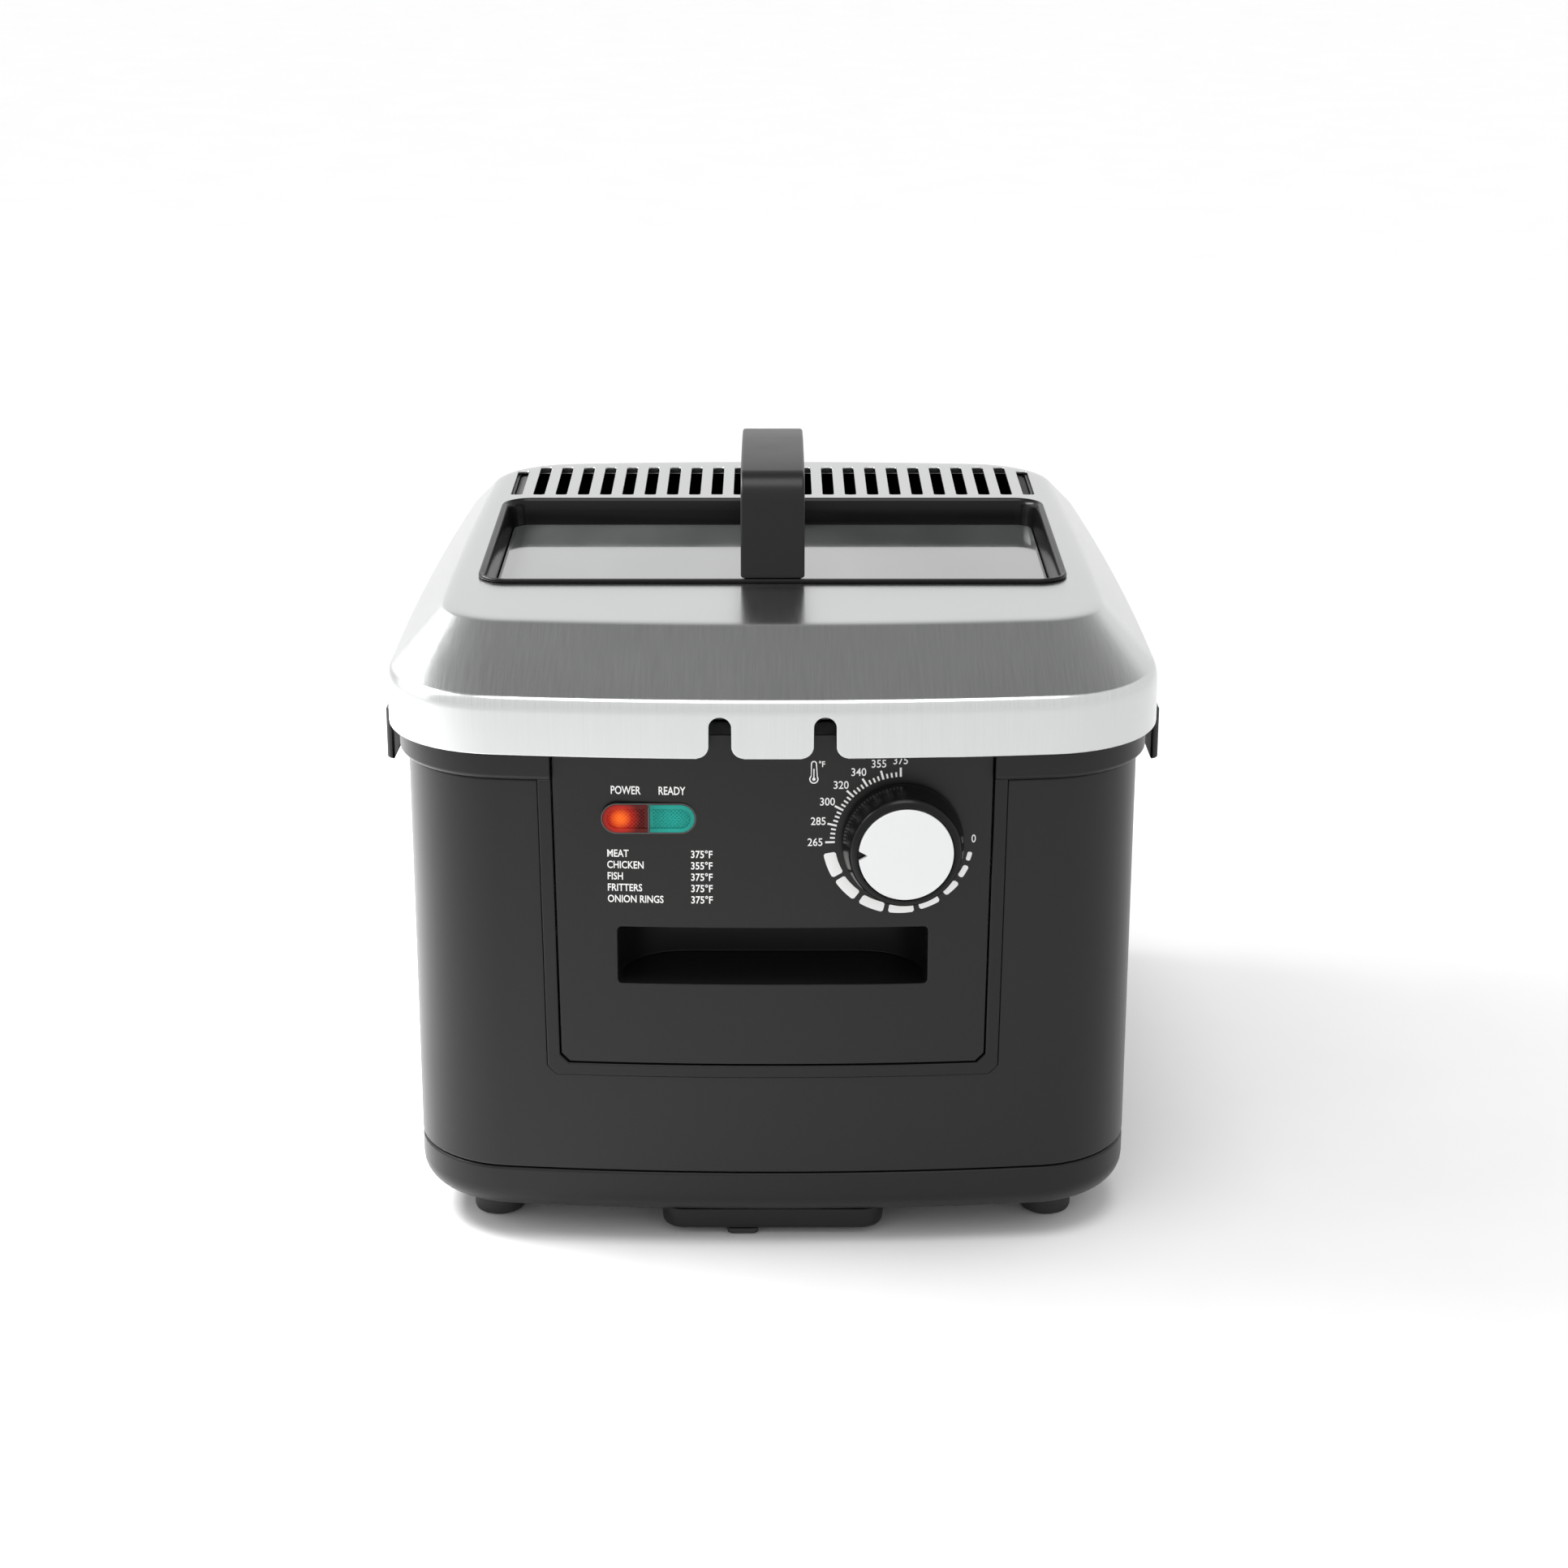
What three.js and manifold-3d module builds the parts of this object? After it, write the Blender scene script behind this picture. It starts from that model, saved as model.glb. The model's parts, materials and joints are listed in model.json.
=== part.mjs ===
// Countertop deep fryer with a lift-out control unit, oil pot, basket and lid.
// Millimetres, +Z up, +Y towards the back. The origin is on the ground under the middle of the
// overall box. Every piece is one closed solid, and neighbours keep a small gap.

import * as THREE from 'three';
import { mergeVertices } from 'three/addons/utils/BufferGeometryUtils.js';
import Module from 'manifold-3d';

const wasm = await Module();
wasm.setup();

// ---------------------------------------------------------------- driving dimensions

const gap = 0.3;                 // clearance between pieces that touch on the real object

const body = {
  front: -163, back: 163, bow: 900, frontCorner: 40, rearCorner: 28, wall: 2.5, top: 187.2,
  side: { x: 137, y: -118, radius: 3500 },
};
const base = { bottom: 12, seam: 30.6, fillet: 10, floor: 2.5, wall: 2.5, cover: 1.3 };
const collar = { bottom: 187.5, shoulder: 197.7, top: 201.3, proud: 3.2, neck: 0.8, inner: -2 };
const lid = {
  proud: 7, hem: 198, bend: 219, top: 234, sheet: 1.2,
  frontRun: 54, backRun: 11.5, sideRun: 18, topFrontCorner: 28, topRearCorner: 34,
};
const panel = { top: 205.5, bottom: 75.8, topHalf: 80.75, bottomHalf: 79.35, chamfer: 3.3, thick: 3 };
const frame = { width: 4.2, proud: 1, clearance: 0.8 };
const windowHole = {
  halfWidth: 115.9, front: -58, back: 79.5, corner: 12, overlap: 1, rim: 2.9, sight: 4.4, lip: 1.3,
};
const glass = { top: 224.7, thick: 4 };
const vents = { count: 24, pitch: 9.7, width: 4.9, front: 91.5, back: 144.5, shortBy: 8 };
const notch = { spacing: 38, width: 8.2, top: 214 };
const wireX = notch.spacing / 2;      // the handle's two wires pass through the notches
const arch = { halfWidth: 12.5, top: 277, front: -58, back: 79, thick: 13 };
const pot = {
  front: -110, back: 151, bow: 3000, frontCorner: 34, rearCorner: 30, side: { ...body.side, x: 128 },
  sheet: 1.2, bottom: 38, rim: 201.6, flange: 4.5,
};
const box = { halfWidth: 72, back: -118.5, bottom: 79.7, top: 203, wall: 2 };
const knob = { x: 47.5, z: 164.5, radius: 22.4, faceRadius: 18.8, height: 16.4, seat: 0.5 };
const shaftRadius = 3;
const lamps = { x: -45.3, z: 173.4, length: 34.9, height: 11.7 };
const grip = { halfWidth: 57.5, bottom: 108, top: 130.5, depth: 34, corner: 24, wall: 2 };
const element = { radius: 3.3, level: 50, riserX: 28, riserY: -98, outerX: 95, innerX: 38 };
const basket = {
  front: -84, back: 138, bow: 3000, frontCorner: 30, rearCorner: 28, side: { ...body.side, x: 116 },
  rim: 158, bottom: 66, wire: 2.5,
};
const socket = { x: -45, z: 56, depth: 9.5 };
const foot = { frontX: 107, rearX: 96, y: 127, radius: 9.75 };
const skidBottom = 2.8;
const boss = { x: 88, y: 108, top: 25.7, radius: 5 };
const reset = { x: -40, z: 150, travel: 2 };
const sideGrip = { front: -100, back: 80, reach: 11, lip: 3, bottom: 175.5, plate: 190, top: 196 };

const frontFace = body.front;
const bowedFace = (x) => frontFace + body.bow - Math.sqrt(body.bow ** 2 - x ** 2);
const knobTilt = Math.asin(knob.x / body.bow);       // the knob stands square on the bowed face
const capRadius = knob.faceRadius - 1.5;
const frontmost = bowedFace(knob.x) - knob.height * Math.cos(knobTilt) - capRadius * Math.sin(knobTilt);
const depthShift = -(frontmost + body.back + lid.proud) / 2;   // centres the overall depth
const stud = { radius: 1.4, hole: 1.8 };
const studPlaces = [arch.front + 6.5, arch.back - 5.5];
const screwHole = 2.1;             // radius of the holes for the base screws
const lampReach = 16;              // the lamps' outer ends, measured from their middle
const TAU = Math.PI * 2;

// ---------------------------------------------------------------- materials

const finishes = {
  brushed_steel: [0xc9cbcb, 0.3, 1], bright_wire: [0xd0d0ce, 0.22, 1], tank_steel: [0xb4b5b5, 0.35, 1],
  black_plastic: [0x3b3938, 0.45, 0], dark_plastic: [0x333130, 0.5, 0], gloss_black: [0x171515, 0.2, 0],
  silver_cap: [0xe6e7e7, 0.35, 1], clear_glass: [0xb8bdbb, 0.05, 0], red_lens: [0xd8361c, 0.15, 0],
  green_lens: [0x13877a, 0.15, 0], clear_lens: [0xcfd2d0, 0.1, 0], rubber: [0x1d1c1c, 0.8, 0],
  element_steel: [0x8b8a88, 0.35, 1], filter_foam: [0x2c2c2b, 0.95, 0], steel: [0x9a9b9c, 0.4, 1],
  cable_sheath: [0x242323, 0.6, 0], button_red: [0xb3251c, 0.4, 0],
};

const model = new THREE.Group();
model.position.y = depthShift;

function addPiece(name, finish, solid) {
  const [color, roughness, metalness] = finishes[finish];
  const material = new THREE.MeshStandardMaterial({ color, roughness, metalness });
  const mesh = new THREE.Mesh(toGeometry(solid), material);
  mesh.name = name;
  model.add(mesh);
}

// ---------------------------------------------------------------- solids from geometry

function toSolid(geometry) {
  const bare = geometry.clone();
  bare.deleteAttribute('normal');
  bare.deleteAttribute('uv');
  const merged = mergeVertices(bare, 1e-4);
  const indices = merged.index.array;
  const triangles = [];
  for (let i = 0; i < indices.length; i += 3) {
    const [a, b, c] = indices.slice(i, i + 3);
    if (a !== b && b !== c && c !== a) triangles.push(a, b, c);
  }
  return new wasm.Manifold(new wasm.Mesh({
    numProp: 3,
    vertProperties: new Float32Array(merged.attributes.position.array),
    triVerts: new Uint32Array(triangles),
  }));
}

function toGeometry(solid) {
  const mesh = solid.getMesh();
  const geometry = new THREE.BufferGeometry();
  geometry.setAttribute('position', new THREE.BufferAttribute(mesh.vertProperties, 3));
  geometry.setIndex(new THREE.BufferAttribute(mesh.triVerts, 1));
  geometry.computeVertexNormals();
  return geometry;
}

function block(x0, x1, y0, y1, z0, z1) {
  const geometry = new THREE.BoxGeometry(x1 - x0, y1 - y0, z1 - z0);
  return toSolid(geometry.translate((x0 + x1) / 2, (y0 + y1) / 2, (z0 + z1) / 2));
}

// A cylinder from one end to the other along 'x', 'y' or 'z'.
function rod(axis, radius, from, to, [u, v], sides = 16) {
  const geometry = new THREE.CylinderGeometry(radius, radius, to - from, sides);
  const middle = (from + to) / 2;
  if (axis === 'x') geometry.rotateZ(-Math.PI / 2).translate(middle, u, v);
  if (axis === 'y') geometry.translate(u, middle, v);
  if (axis === 'z') geometry.rotateX(Math.PI / 2).translate(u, v, middle);
  return toSolid(geometry);
}

// A turned piece about the Z axis; the profile's points are (radius, height).
function turned(profile, sides = 24) {
  const points = profile.map(([r, h]) => new THREE.Vector2(r, h));
  return toSolid(new THREE.LatheGeometry(points, sides).rotateX(Math.PI / 2));
}

function polygon(points) {
  return new THREE.Shape(points.map(([u, v]) => new THREE.Vector2(u, v)));
}

function extrude(shape, length, curveSegments = 2) {
  return new THREE.ExtrudeGeometry(shape, { depth: length, bevelEnabled: false, curveSegments });
}

// The shape is drawn in (x, z) and runs along Y.
function extrudeY(shape, y0, y1) {
  return toSolid(extrude(shape, y1 - y0).rotateX(Math.PI / 2).translate(0, y1, 0));
}

// The shape is drawn in (y, z) and runs along X.
function extrudeX(shape, x0, x1) {
  const axes = [[0, 1, 0], [0, 0, 1], [1, 0, 0]].map((axis) => new THREE.Vector3(...axis));
  const turn = new THREE.Matrix4().makeBasis(...axes);
  return toSolid(extrude(shape, x1 - x0).applyMatrix4(turn).translate(x0, 0, 0));
}

function extrudeZ(shape, z0, z1) {
  return toSolid(extrude(shape, z1 - z0).translate(0, 0, z0));
}

function roundedRectangle(halfU, halfV, radius, [u, v] = [0, 0]) {
  const shape = new THREE.Shape();
  const corners = [[1, -1, -0.25], [1, 1, 0], [-1, 1, 0.25], [-1, -1, 0.5]];
  for (const [sideU, sideV, turn] of corners) {
    const centre = [u + sideU * (halfU - radius), v + sideV * (halfV - radius)];
    shape.absarc(...centre, radius, turn * TAU, (turn + 0.25) * TAU, false);
  }
  return shape;
}

// ---------------------------------------------------------------- outlines, lofts and tubes

// An outline of tangent arcs: a bowed front and back, sides that curve in towards the back, and
// four round corners. Growing it by an amount gives the parallel outline, because the arcs keep
// their centres. Points run anticlockwise from the middle of the front.
function outline({ front, back, bow, frontCorner, rearCorner, side }, grow = 0) {
  const sideCentre = [side.x - side.radius, side.y];
  const half = [];
  const addArc = ([cx, cy], radius, from, to, steps) => {
    for (let i = 0; i < steps; i += 1) {
      const angle = from + ((to - from) * i) / steps;
      half.push([cx + radius * Math.cos(angle), cy + radius * Math.sin(angle)]);
    }
  };
  const ends = [[-1, front, frontCorner], [1, back, rearCorner]].map(([sign, edge, corner]) => {
    const bowCentre = [0, edge - sign * bow];
    const centre = tangentCentre(sideCentre, side.radius - corner, bowCentre, bow - corner, sign);
    const bowAngle = Math.atan2(centre[1] - bowCentre[1], centre[0]);
    const sideAngle = Math.atan2(centre[1] - sideCentre[1], centre[0] - sideCentre[0]);
    return { bowCentre, centre, corner, bowAngle, sideAngle };
  });
  const [near, far] = ends;
  addArc(near.bowCentre, bow + grow, -TAU / 4, near.bowAngle, 2);
  addArc(near.centre, near.corner + grow, near.bowAngle, near.sideAngle, 4);
  addArc(sideCentre, side.radius + grow, near.sideAngle, far.sideAngle, 2);
  addArc(far.centre, far.corner + grow, far.sideAngle, far.bowAngle, 4);
  addArc(far.bowCentre, bow + grow, far.bowAngle, TAU / 4, 2);
  const backMiddle = [0, back + grow];
  return [...half, backMiddle, ...half.slice(1).reverse().map(([x, y]) => [-x, y])];
}

// Where two circles cross, on the right and nearer the front (sign -1) or the back (sign 1).
function tangentCentre([ax, ay], radiusA, [bx, by], radiusB, sign) {
  const distance = Math.hypot(bx - ax, by - ay);
  const [ux, uy] = [(bx - ax) / distance, (by - ay) / distance];
  const along = (radiusA ** 2 - radiusB ** 2 + distance ** 2) / (2 * distance);
  const aside = Math.sqrt(radiusA ** 2 - along ** 2);
  const crossings = [-1, 1].map((turn) => [
    ax + ux * along - uy * aside * turn, ay + uy * along + ux * aside * turn,
  ]);
  return crossings.sort((p, q) => sign * (q[1] - p[1]))[0];
}

const bodyOutline = (grow) => outline(body, grow);
const potOutline = (grow) => outline(pot, grow);
const level = (points, z) => points.map(([x, y]) => new THREE.Vector3(x, y, z));

// Joins rings of the same number of points, lowest first, into one closed solid.
function loft(rings) {
  const count = rings[0].length;
  const index = [];
  for (let ring = 0; ring + 1 < rings.length; ring += 1) {
    for (let i = 0; i < count; i += 1) {
      const a = ring * count + i;
      const b = ring * count + ((i + 1) % count);
      index.push(a, b, b + count, a, b + count, a + count);
    }
  }
  const flat = rings[0].map((point) => new THREE.Vector2(point.x, point.y));
  const last = (rings.length - 1) * count;
  for (const [a, b, c] of THREE.ShapeUtils.triangulateShape(flat, [])) {
    index.push(c, b, a, last + a, last + b, last + c);
  }
  const geometry = new THREE.BufferGeometry();
  const positions = rings.flat().flatMap((point) => point.toArray());
  geometry.setAttribute('position', new THREE.Float32BufferAttribute(positions, 3));
  geometry.setIndex(index);
  return toSolid(geometry);
}

const prism = (points, z0, z1) => loft([level(points, z0), level(points, z1)]);

// A round wire bent into a closed loop along an outline.
function wireLoop(points, z, radius, sides = 6) {
  const count = points.length;
  const positions = [];
  const index = [];
  points.forEach(([x, y], i) => {
    const [ax, ay] = points[(i + count - 1) % count];
    const [bx, by] = points[(i + 1) % count];
    const size = Math.hypot(bx - ax, by - ay);
    const [nx, ny] = [(by - ay) / size, (ax - bx) / size];
    for (let k = 0; k < sides; k += 1) {
      const out = radius * Math.cos((TAU * k) / sides);
      positions.push(x + nx * out, y + ny * out, z + radius * Math.sin((TAU * k) / sides));
      const [a, b] = [i * sides + k, i * sides + ((k + 1) % sides)];
      const [c, d] = [((i + 1) % count) * sides + k, ((i + 1) % count) * sides + ((k + 1) % sides)];
      index.push(a, c, d, a, d, b);
    }
  });
  const geometry = new THREE.BufferGeometry();
  geometry.setAttribute('position', new THREE.Float32BufferAttribute(positions, 3));
  geometry.setIndex(index);
  return toSolid(geometry);
}

// A straight-sided route with rounded corners.
function bentPath(corners, radius) {
  const points = corners.map((corner) => new THREE.Vector3(...corner));
  const path = new THREE.CurvePath();
  let from = points[0];
  for (let i = 1; i + 1 < points.length; i += 1) {
    const before = points[i - 1].clone().sub(points[i]);
    const after = points[i + 1].clone().sub(points[i]);
    const room = Math.min(radius, before.length() / 2, after.length() / 2);
    const start = points[i].clone().addScaledVector(before.normalize(), room);
    const end = points[i].clone().addScaledVector(after.normalize(), room);
    if (from.distanceTo(start) > 0.01) path.add(new THREE.LineCurve3(from, start));
    path.add(new THREE.QuadraticBezierCurve3(start, points[i], end));
    from = end;
  }
  path.add(new THREE.LineCurve3(from, points[points.length - 1]));
  return path;
}

// A round wire or tube along a bent path; its section has six sides.
function tube(corners, bend, radius, steps) {
  const section = new THREE.Shape();
  section.absarc(0, 0, radius, 0, TAU, false);
  return toSolid(new THREE.ExtrudeGeometry(section, {
    extrudePath: bentPath(corners, bend), steps, curveSegments: 3,
  }));
}

// ---------------------------------------------------------------- casing

// The control panel's outline in (x, z), grown by the given amount.
function panelShape(grow, top = panel.top) {
  const { bottom, topHalf, bottomHalf, chamfer } = panel;
  const [low, wide, narrow] = [bottom - grow, topHalf + grow, bottomHalf + grow];
  return polygon([
    [-narrow + chamfer, low], [narrow - chamfer, low], [narrow, low + chamfer], [wide, top],
    [-wide, top], [-narrow, low + chamfer],
  ]);
}

function housingShell() {
  const { wall, top } = body;
  const bottom = base.seam + gap;
  const bayShape = panelShape(frame.clearance + frame.width + gap, top + 5);
  const bay = extrudeY(bayShape, frontFace - 5, frontFace + 12);
  const inlet = block(socket.x - 18, socket.x + 18, 150, 170, socket.z - 12, socket.z + 12);
  return prism(bodyOutline(0), bottom, top)
    .subtract(prism(bodyOutline(-wall), bottom - 1, top + 1))
    .subtract(bay)
    .subtract(inlet);
}

// The band under the lid, its inner flange that carries the pot, and the frame round the panel.
function rimCollar() {
  const { bottom, shoulder, top, proud, neck, inner } = collar;
  const band = prism(bodyOutline(proud), bottom, shoulder).add(prism(bodyOutline(neck), shoulder, top));
  const locator = prism(bodyOutline(-body.wall - gap), bottom - 4, bottom + 1);
  const hollow = prism(bodyOutline(inner), bottom + 1.5, top - 1.5)
    .add(prism(bodyOutline(-body.wall - gap - 2), bottom - 5, bottom + 2));
  const potHole = prism(potOutline(pot.sheet + 0.4), bottom, top + 1);
  const opening = extrudeY(panelShape(frame.clearance, top + 5), frontFace - 6, box.back + 1);
  const border = extrudeY(panelShape(frame.clearance + frame.width, collar.bottom + 1), frontFace - 5, -140)
    .intersect(prism(bodyOutline(frame.proud), 60, 190))
    .subtract(prism(bodyOutline(-body.wall), 50, 195));
  return band.add(locator).subtract(hollow).subtract(potHole).add(border).subtract(opening);
}

function baseTray() {
  const { bottom, seam, fillet, floor, wall } = base;
  const rings = [];
  const steps = 3;
  for (let i = 0; i <= steps; i += 1) {
    const angle = (Math.PI / 2) * (i / steps);
    const inset = fillet * (1 - Math.sin(angle));
    rings.push([inset, bottom + fillet * (1 - Math.cos(angle))]);
  }
  const underside = rings.map(([inset, z]) => level(bodyOutline(-inset), z));
  const outer = loft([...underside, level(bodyOutline(0), seam)]);
  const inner = loft([
    level(bodyOutline(-fillet - 1), bottom + floor), level(bodyOutline(-wall - 2), bottom + fillet - 1),
    level(bodyOutline(-wall), seam - 6), level(bodyOutline(-wall), seam + 1),
  ]);
  const lip = prism(bodyOutline(-wall - gap), seam - 6.5, seam + 4)
    .add(prism(bodyOutline(-1), seam - 6.5, seam - 4))
    .subtract(prism(bodyOutline(-wall - 2.2), seam - 8, seam + 5));
  let tray = outer.subtract(inner).add(lip);
  for (const [x, y] of fourCorners(boss.x, boss.y)) {
    tray = tray.add(rod('z', boss.radius, bottom + 1, boss.top, [x, y], 12));
  }
  for (const [x, y] of fourCorners(boss.x, boss.y)) {
    tray = tray.subtract(rod('z', screwHole, bottom - 1, bottom + 11, [x, y], 10));
  }
  return tray.subtract(block(-72, 72, -92, 92, bottom - 1, bottom + floor + 1));
}

function fourCorners(x, y) {
  return [[-x, -y], [x, -y], [-x, y], [x, y]];
}

function bottomCover() {
  const top = base.bottom - gap;
  let plate = extrudeZ(roundedRectangle(94, 114, 8), top - base.cover, top);
  for (const [x, y] of fourCorners(boss.x, boss.y)) {
    plate = plate.subtract(rod('z', screwHole, top - 5, top + 5, [x, y], 10));
  }
  for (let row = -3; row <= 3; row += 1) {
    plate = plate.subtract(block(-45, 45, row * 20 - 2.5, row * 20 + 2.5, top - 5, top + 5));
  }
  return plate;
}

function baseScrew(x, y) {
  const seat = base.bottom - gap - base.cover - gap;
  const [head, shank, length] = [3.6, 1.6, 11];
  const profile = [
    [0, seat - 2], [head, seat - 2], [head, seat], [shank, seat], [shank, seat + length], [0, seat + length],
  ];
  return turned(profile, 10).translate([x, y, 0]);
}

function rubberFoot(x, y) {
  const { radius } = foot;
  const top = base.bottom - gap;
  const profile = [
    [0, 0], [radius - 1.2, 0], [radius, 1.5], [radius, top - 3], [radius - 1.5, top], [0, top],
  ];
  return turned(profile, 16).translate([x, y, 0]);
}

// The block under the front edge that stops the fryer tipping when the control unit is lifted.
function frontSkid() {
  return extrudeZ(roundedRectangle(43, 11, 9, [0, -144]), skidBottom, base.bottom - gap);
}

function skidPad() {
  return extrudeZ(roundedRectangle(6, 7, 2, [-11.5, -146]), 0.4, skidBottom - gap);
}

// A side handle: a top plate with a lip that the fingers hook behind.
function sideHandle(side) {
  const { front, back, reach, lip, bottom, plate, top } = sideGrip;
  const far = body.side.x + reach;
  const plan = polygon([
    [80, front], [far - 2, front], [far + 1, front + 4], [far + 1, back - 12], [far - 12, back], [80, back],
  ]);
  const inner = collar.proud + gap;
  const solid = prism(bodyOutline(reach), bottom, top).intersect(extrudeZ(plan, bottom, top))
    .subtract(prism(bodyOutline(inner), bottom - 1, top + 1));
  const hollow = prism(bodyOutline(reach - lip), bottom - 1, plate)
    .subtract(prism(bodyOutline(inner + 1.6), collar.bottom, plate + 1));
  const handle = solid.subtract(hollow);
  return side > 0 ? handle : handle.mirror([1, 0, 0]);
}

function heatShield() {
  const bottom = boss.top + gap;
  return extrudeZ(roundedRectangle(112, 118, 14, [0, 14]), bottom, bottom + 5)
    .subtract(extrudeZ(roundedRectangle(110.8, 116.8, 13, [0, 14]), bottom + 1.2, bottom + 6));
}

// The mains inlet in the back wall, with its two pins at the bottom of a pocket.
function inletSocket() {
  const { x, z, depth } = socket;
  const back = body.back + gap;
  const flange = extrudeY(roundedRectangle(20, 14, 3, [x, z]), back, back + 2);
  const shell = block(x - 17, x + 17, back - depth, back + 1, z - 11, z + 11);
  const pocket = block(x - 14, x + 14, back - depth + 2, back + 3, z - 7, z + 7);
  let inlet = flange.add(shell).subtract(pocket);
  for (const side of [-9, 9]) {
    inlet = inlet.add(rod('y', 2, back - depth + 1, back - 1, [x + side, z], 10));
  }
  return inlet;
}

const dock = { halfWidth: 17, front: -150, back: -126, top: 78 };

function dockingSocket() {
  const { halfWidth, front, back, top } = dock;
  return block(-halfWidth, halfWidth, front, back, base.bottom + base.floor + gap, top)
    .subtract(block(-halfWidth + 3, halfWidth - 3, front + 3, back - 3, top - 14, top + 1));
}

// The internal cable, from under the inlet along the base to the docking socket.
function mainsHarness() {
  const low = base.bottom + base.floor + 5;
  const behindPot = 153.4;
  return tube([
    [socket.x, behindPot, socket.z - 11 - gap], [socket.x, behindPot, low], [socket.x, -120, low],
    [socket.x + 8, -138, low], [-dock.halfWidth - gap, -138, low],
  ], 7, 2.6, 28);
}

// ---------------------------------------------------------------- oil pot

function oilPot() {
  const { sheet, bottom, rim, flange } = pot;
  const ring = (inset, z) => level(potOutline(-inset), z);
  const bends = [[14, 0], [6, 3], [2, 9], [0.6, 18]];          // inset and height above the floor
  const outer = loft([...bends.map(([inset, up]) => ring(inset, bottom + up)), ring(0, rim + sheet)]);
  const hollow = bends.map(([inset, up]) => ring(inset + sheet, bottom + Math.max(up + 0.6, sheet)));
  const inner = loft([...hollow, ring(sheet, rim + 5)]);
  const edge = prism(potOutline(flange), rim, rim + sheet);
  return outer.add(edge).subtract(inner);
}

// ---------------------------------------------------------------- control unit

function controlPanel() {
  const { halfWidth, bottom, top, depth, corner, wall } = grip;
  const skin = extrudeY(panelShape(0), frontFace - 5, -140)
    .intersect(prism(bodyOutline(0), 60, 220))
    .subtract(prism(bodyOutline(-panel.thick), 50, 230));
  const pocketPlan = (grow, front) => {
    const back = frontFace + depth + grow;
    const [wide, round] = [halfWidth + grow, corner + grow];
    const shape = new THREE.Shape();
    shape.moveTo(-wide, front).lineTo(wide, front);
    shape.absarc(wide - round, back - round, round, 0, TAU / 4, false);
    shape.absarc(-wide + round, back - round, round, TAU / 4, TAU / 2, false);
    return shape;
  };
  const shell = extrudeZ(pocketPlan(wall, frontFace + 2.2), bottom - wall, top + wall);
  const pocket = extrudeZ(pocketPlan(0, frontFace - 5), bottom, top);
  const shaftHole = rod('y', shaftRadius + 1.2, frontFace - 5, -150, [knob.x, knob.z], 12);
  const lampHole = extrudeY(capsuleShape(0.7), frontFace - 5, -150);
  return skin.add(shell).subtract(pocket).subtract(shaftHole).subtract(lampHole);
}

function controlBox() {
  const { halfWidth, back, bottom, top, wall } = box;
  const front = prism(bodyOutline(-panel.thick - gap), bottom - 1, top + 1);
  return block(-halfWidth, halfWidth, frontFace, back, bottom, top)
    .intersect(front)
    .subtract(block(-halfWidth + wall, halfWidth - wall, frontFace, back - wall, bottom + wall, top - wall))
    .subtract(rod('y', 4.1, back - 5, back + 5, [reset.x, reset.z], 12))
    .subtract(block(-34, 48, -133, back - wall, top - 5, top + 5));
}

function lampBezel() {
  const front = bowedFace(Math.abs(lamps.x) - lampReach);
  const flange = extrudeY(capsuleShape(0), front - 0.9, front - gap);
  const sleeve = extrudeY(capsuleShape(1), front - 0.5, front + 6);
  const middle = extrudeY(capsuleShape(1.7), front - 5, front + 10);
  const divider = block(lamps.x - 0.7, lamps.x + 0.7, front - 0.9, front + 6, lamps.z - 4.6, lamps.z + 4.6);
  return flange.add(sleeve).subtract(middle).add(divider);
}

function capsuleShape(inset) {
  const half = lamps.height / 2 - inset;
  return roundedRectangle(lamps.length / 2 - inset, half, half - 0.01, [lamps.x, lamps.z]);
}

function lens(side) {
  const front = bowedFace(Math.abs(lamps.x) - lampReach);
  const whole = extrudeY(capsuleShape(1.7 + gap), front - 0.5, front + 5);
  const edge = lamps.x + side * (0.7 + gap);
  const [low, high] = side < 0 ? [edge - lamps.length, edge] : [edge, edge + lamps.length];
  return whole.intersect(block(low, high, front - 10, front + 10, lamps.z - 10, lamps.z + 10));
}

const lampY = { front: frontFace + 8, back: frontFace + 24 };

function lampHolder() {
  let holder = block(lamps.x - 17, lamps.x + 17, lampY.front, lampY.back, lamps.z - 7, lamps.z + 7);
  for (const side of [-8.5, 8.5]) {
    holder = holder.subtract(rod('y', 3.6, lampY.front - 1, lampY.back - 3, [lamps.x + side, lamps.z], 12));
  }
  return holder;
}

function neonLamp(side) {
  return rod('y', 3.2, lampY.front + 0.5, lampY.back - 3.4, [lamps.x + side * 8.5, lamps.z], 10);
}

const regulator = { halfWidth: 17, front: frontFace + 12, back: frontFace + 32, halfHeight: 16 };

function thermostat() {
  const { halfWidth, front, back, halfHeight } = regulator;
  const casing = block(
    knob.x - halfWidth, knob.x + halfWidth, front, back, knob.z - halfHeight, knob.z + halfHeight,
  );
  const lugs = block(
    knob.x - halfWidth - 5, knob.x + halfWidth + 5, front + 3, front + 7, knob.z - 6, knob.z + 6,
  );
  return casing.add(lugs);
}

// Phial and capillary: the thin tube leaves the thermostat, passes over the pot's rim and ends in
// the phial that lies on the heating element.
function sensorBulb() {
  const x = element.innerX;
  const z = element.level + 2 * element.radius + gap;
  const y = element.riserY + 2;
  const riseY = -126.5;
  const capillary = tube([
    [x, regulator.back + gap, knob.z + 8], [x, riseY, knob.z + 8], [x, riseY, 213], [x, y, 213],
    [x, y, z], [x, -50, z],
  ], 8, 1.1, 32);
  return capillary.add(rod('y', 3, -56, 36, [x, z], 10));
}

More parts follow.
